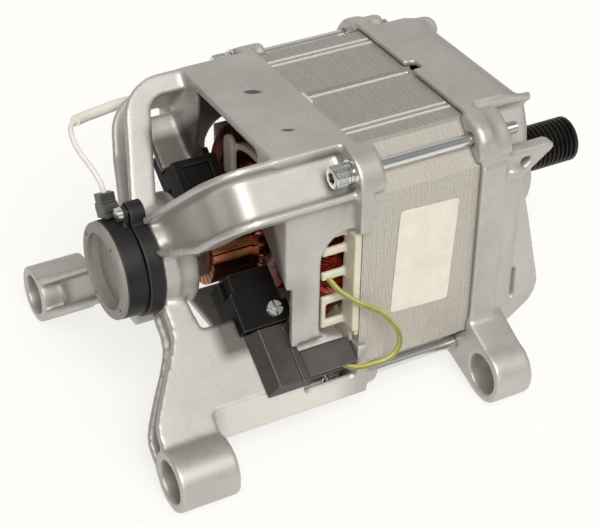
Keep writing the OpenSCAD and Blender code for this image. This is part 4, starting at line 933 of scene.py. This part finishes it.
def makeHooks():
    # wire hooks on the commutator's risers
    s = hookSet
    tree, given, out = startTree("riserHooks", [
        ("Bars", "Int", 12), ("Radius", "Float", 0.018), ("Place", "Vector", None), ("Copper", "Material", None)])
    ring = addNode(tree, "GeometryNodeMeshCircle", {"Vertices": given["Bars"], "Radius": given["Radius"]}).outputs[0]
    where = addNode(tree, "GeometryNodeInputPosition").outputs[0]
    facing = addNode(tree, "FunctionNodeAlignEulerToVector", {"Vector": where}, axis="X").outputs[0]
    hooks = addNode(tree, "GeometryNodeInstanceOnPoints", {
        "Points": ring, "Instance": given["Geometry"], "Rotation": facing}).outputs[0]
    placed = addNode(tree, "GeometryNodeTransform", {
        "Geometry": hooks, "Translation": given["Place"], "Rotation": (0, math.pi / 2, 0)}).outputs[0]
    endTree(tree, placed, given["Copper"], out)
    hook = tubeMesh("commutatorHooks", [smoothRoute(s["bend"], 2)], s["wireR"], 6)
    obj = growTree(hook, tree, {
        "Bars": s["bars"], "Radius": 0.001 * s["radius"], "Place": tuple(spot(s["x"], 0, 0)),
        "Copper": finishes["bare_copper"]})
    smoothFaces(obj.data, 50)
    dress(obj, "bare_copper", "rotor")


makeHooks()
print("fasteners made")


# rating label, bare
labelSet = {"width": 27.5, "height": 48.5, "thick": 0.3, "round": 1.6, "at": (1.2, -56.25, 5.0), "turn": 3.0}


def makeLabel():
    s = labelSet
    w, h, r = s["width"] / 2, s["height"] / 2, s["round"]
    edge = []
    for cx, cz, a0 in ((w - r, h - r, 0), (r - w, h - r, 90), (r - w, r - h, 180), (w - r, r - h, 270)):
        turns = [math.radians(a0 + 15 * k) for k in range(7)]
        edge += [(cx + r * math.cos(a), cz + r * math.sin(a)) for a in turns]
    t = math.radians(s["turn"])
    bm = bmesh.new()
    rows = []
    for inset, depth in ((0.0, s["thick"] / 2), (0.0, -s["thick"] / 2 + 0.06), (0.08, -s["thick"] / 2)):
        row = []
        for x, z in edge:
            x, z = x * (1 - inset / w), z * (1 - inset / h)
            row.append(bm.verts.new(spot(s["at"][0] + x * math.cos(t) + z * math.sin(t), s["at"][1] + depth,
                                         s["at"][2] - x * math.sin(t) + z * math.cos(t))))
        rows.append(row)
    for a, b in zip(rows, rows[1:]):
        for k in range(len(edge)):
            n = (k + 1) % len(edge)
            bm.faces.new((a[k], a[n], b[n], b[k]))
    bm.faces.new(rows[0])
    bm.faces.new(rows[-1])
    bmesh.ops.recalc_face_normals(bm, faces=bm.faces)
    mesh = bpy.data.meshes.new("blankLabel")
    bm.to_mesh(mesh)
    bm.free()
    dress(addObject("blankLabel", mesh), "label_film", "motor", ["rating_label"])


makeLabel()


# floor and light
lightSet = {"world": 0.3, "key": 2.8, "keyFrom": (-0.12, -0.68, 0.72), "keyAngle": 40,
            "fill": 0.35, "fillFrom": (0.25, 0.75, 0.6), "fillAngle": 70}


def makeFloor():
    bm = bmesh.new()
    bmesh.ops.create_grid(bm, x_segments=8, y_segments=8, size=4.0)
    mesh = bpy.data.meshes.new("paleFloor")
    bm.to_mesh(mesh)
    bm.free()
    obj = addObject("paleFloor", mesh)
    obj.location.z = -0.0002
    mat = bpy.data.materials.new("paleFloorPaint")
    mat.use_nodes = True
    tree = mat.node_tree
    tree.nodes.clear()
    path = addNode(tree, "ShaderNodeLightPath")
    seen = larger(tree, path.outputs["Is Camera Ray"], path.outputs["Is Glossy Ray"])
    seen = larger(tree, seen, path.outputs["Is Transmission Ray"])
    at = addNode(tree, "ShaderNodeTexCoord").outputs["Object"]
    clouds = noise(tree, at, 3.0, 2.0)
    paint = ramp(tree, clouds, [(0.3, [0.66, 0.655, 0.645, 1]), (0.7, [0.7, 0.695, 0.685, 1])])
    bounce = addNode(tree, "ShaderNodeBsdfDiffuse", {"Color": paint}).outputs[0]
    shade = addNode(tree, "ShaderNodeBsdfDiffuse", {"Color": [0.22, 0.22, 0.22, 1]}).outputs[0]
    glow = addNode(tree, "ShaderNodeEmission", {"Color": [0.78, 0.77, 0.75, 1], "Strength": 1.0}).outputs[0]
    shown = addNode(tree, "ShaderNodeAddShader", {0: glow, 1: shade}).outputs[0]
    both = addNode(tree, "ShaderNodeMixShader", {0: seen, 1: bounce, 2: shown}).outputs[0]
    end = addNode(tree, "ShaderNodeOutputMaterial")
    tree.links.new(both, end.inputs["Surface"])
    mesh.materials.append(mat)


def makeLight():
    s = lightSet
    world = bpy.data.worlds.new("softRoom")
    scene.world = world
    world.use_nodes = True
    tree = world.node_tree
    tree.nodes.clear()
    path = addNode(tree, "ShaderNodeLightPath")
    seen = larger(tree, path.outputs["Is Camera Ray"], path.outputs["Is Transmission Ray"])
    room = addNode(tree, "ShaderNodeBackground", {"Color": [1.0, 0.985, 0.96, 1], "Strength": s["world"]}).outputs[0]
    white = addNode(tree, "ShaderNodeBackground", {"Color": [1.0, 0.99, 0.97, 1], "Strength": 1.0}).outputs[0]
    both = addNode(tree, "ShaderNodeMixShader", {0: seen, 1: room, 2: white}).outputs[0]
    tree.links.new(both, addNode(tree, "ShaderNodeOutputWorld").inputs["Surface"])
    for name in ("key", "fill"):
        lamp = bpy.data.lights.new(name + "Lamp", "SUN")
        lamp.energy = s[name]
        lamp.angle = math.radians(s[name + "Angle"])
        lamp.color = (1.0, 0.985, 0.955)
        obj = addObject(name + "Lamp", lamp)
        obj.rotation_mode = "QUATERNION"
        obj.rotation_quaternion = Vector(s[name + "From"]).to_track_quat("Z", "Y")


makeFloor()
makeLight()
print("floor and light set")
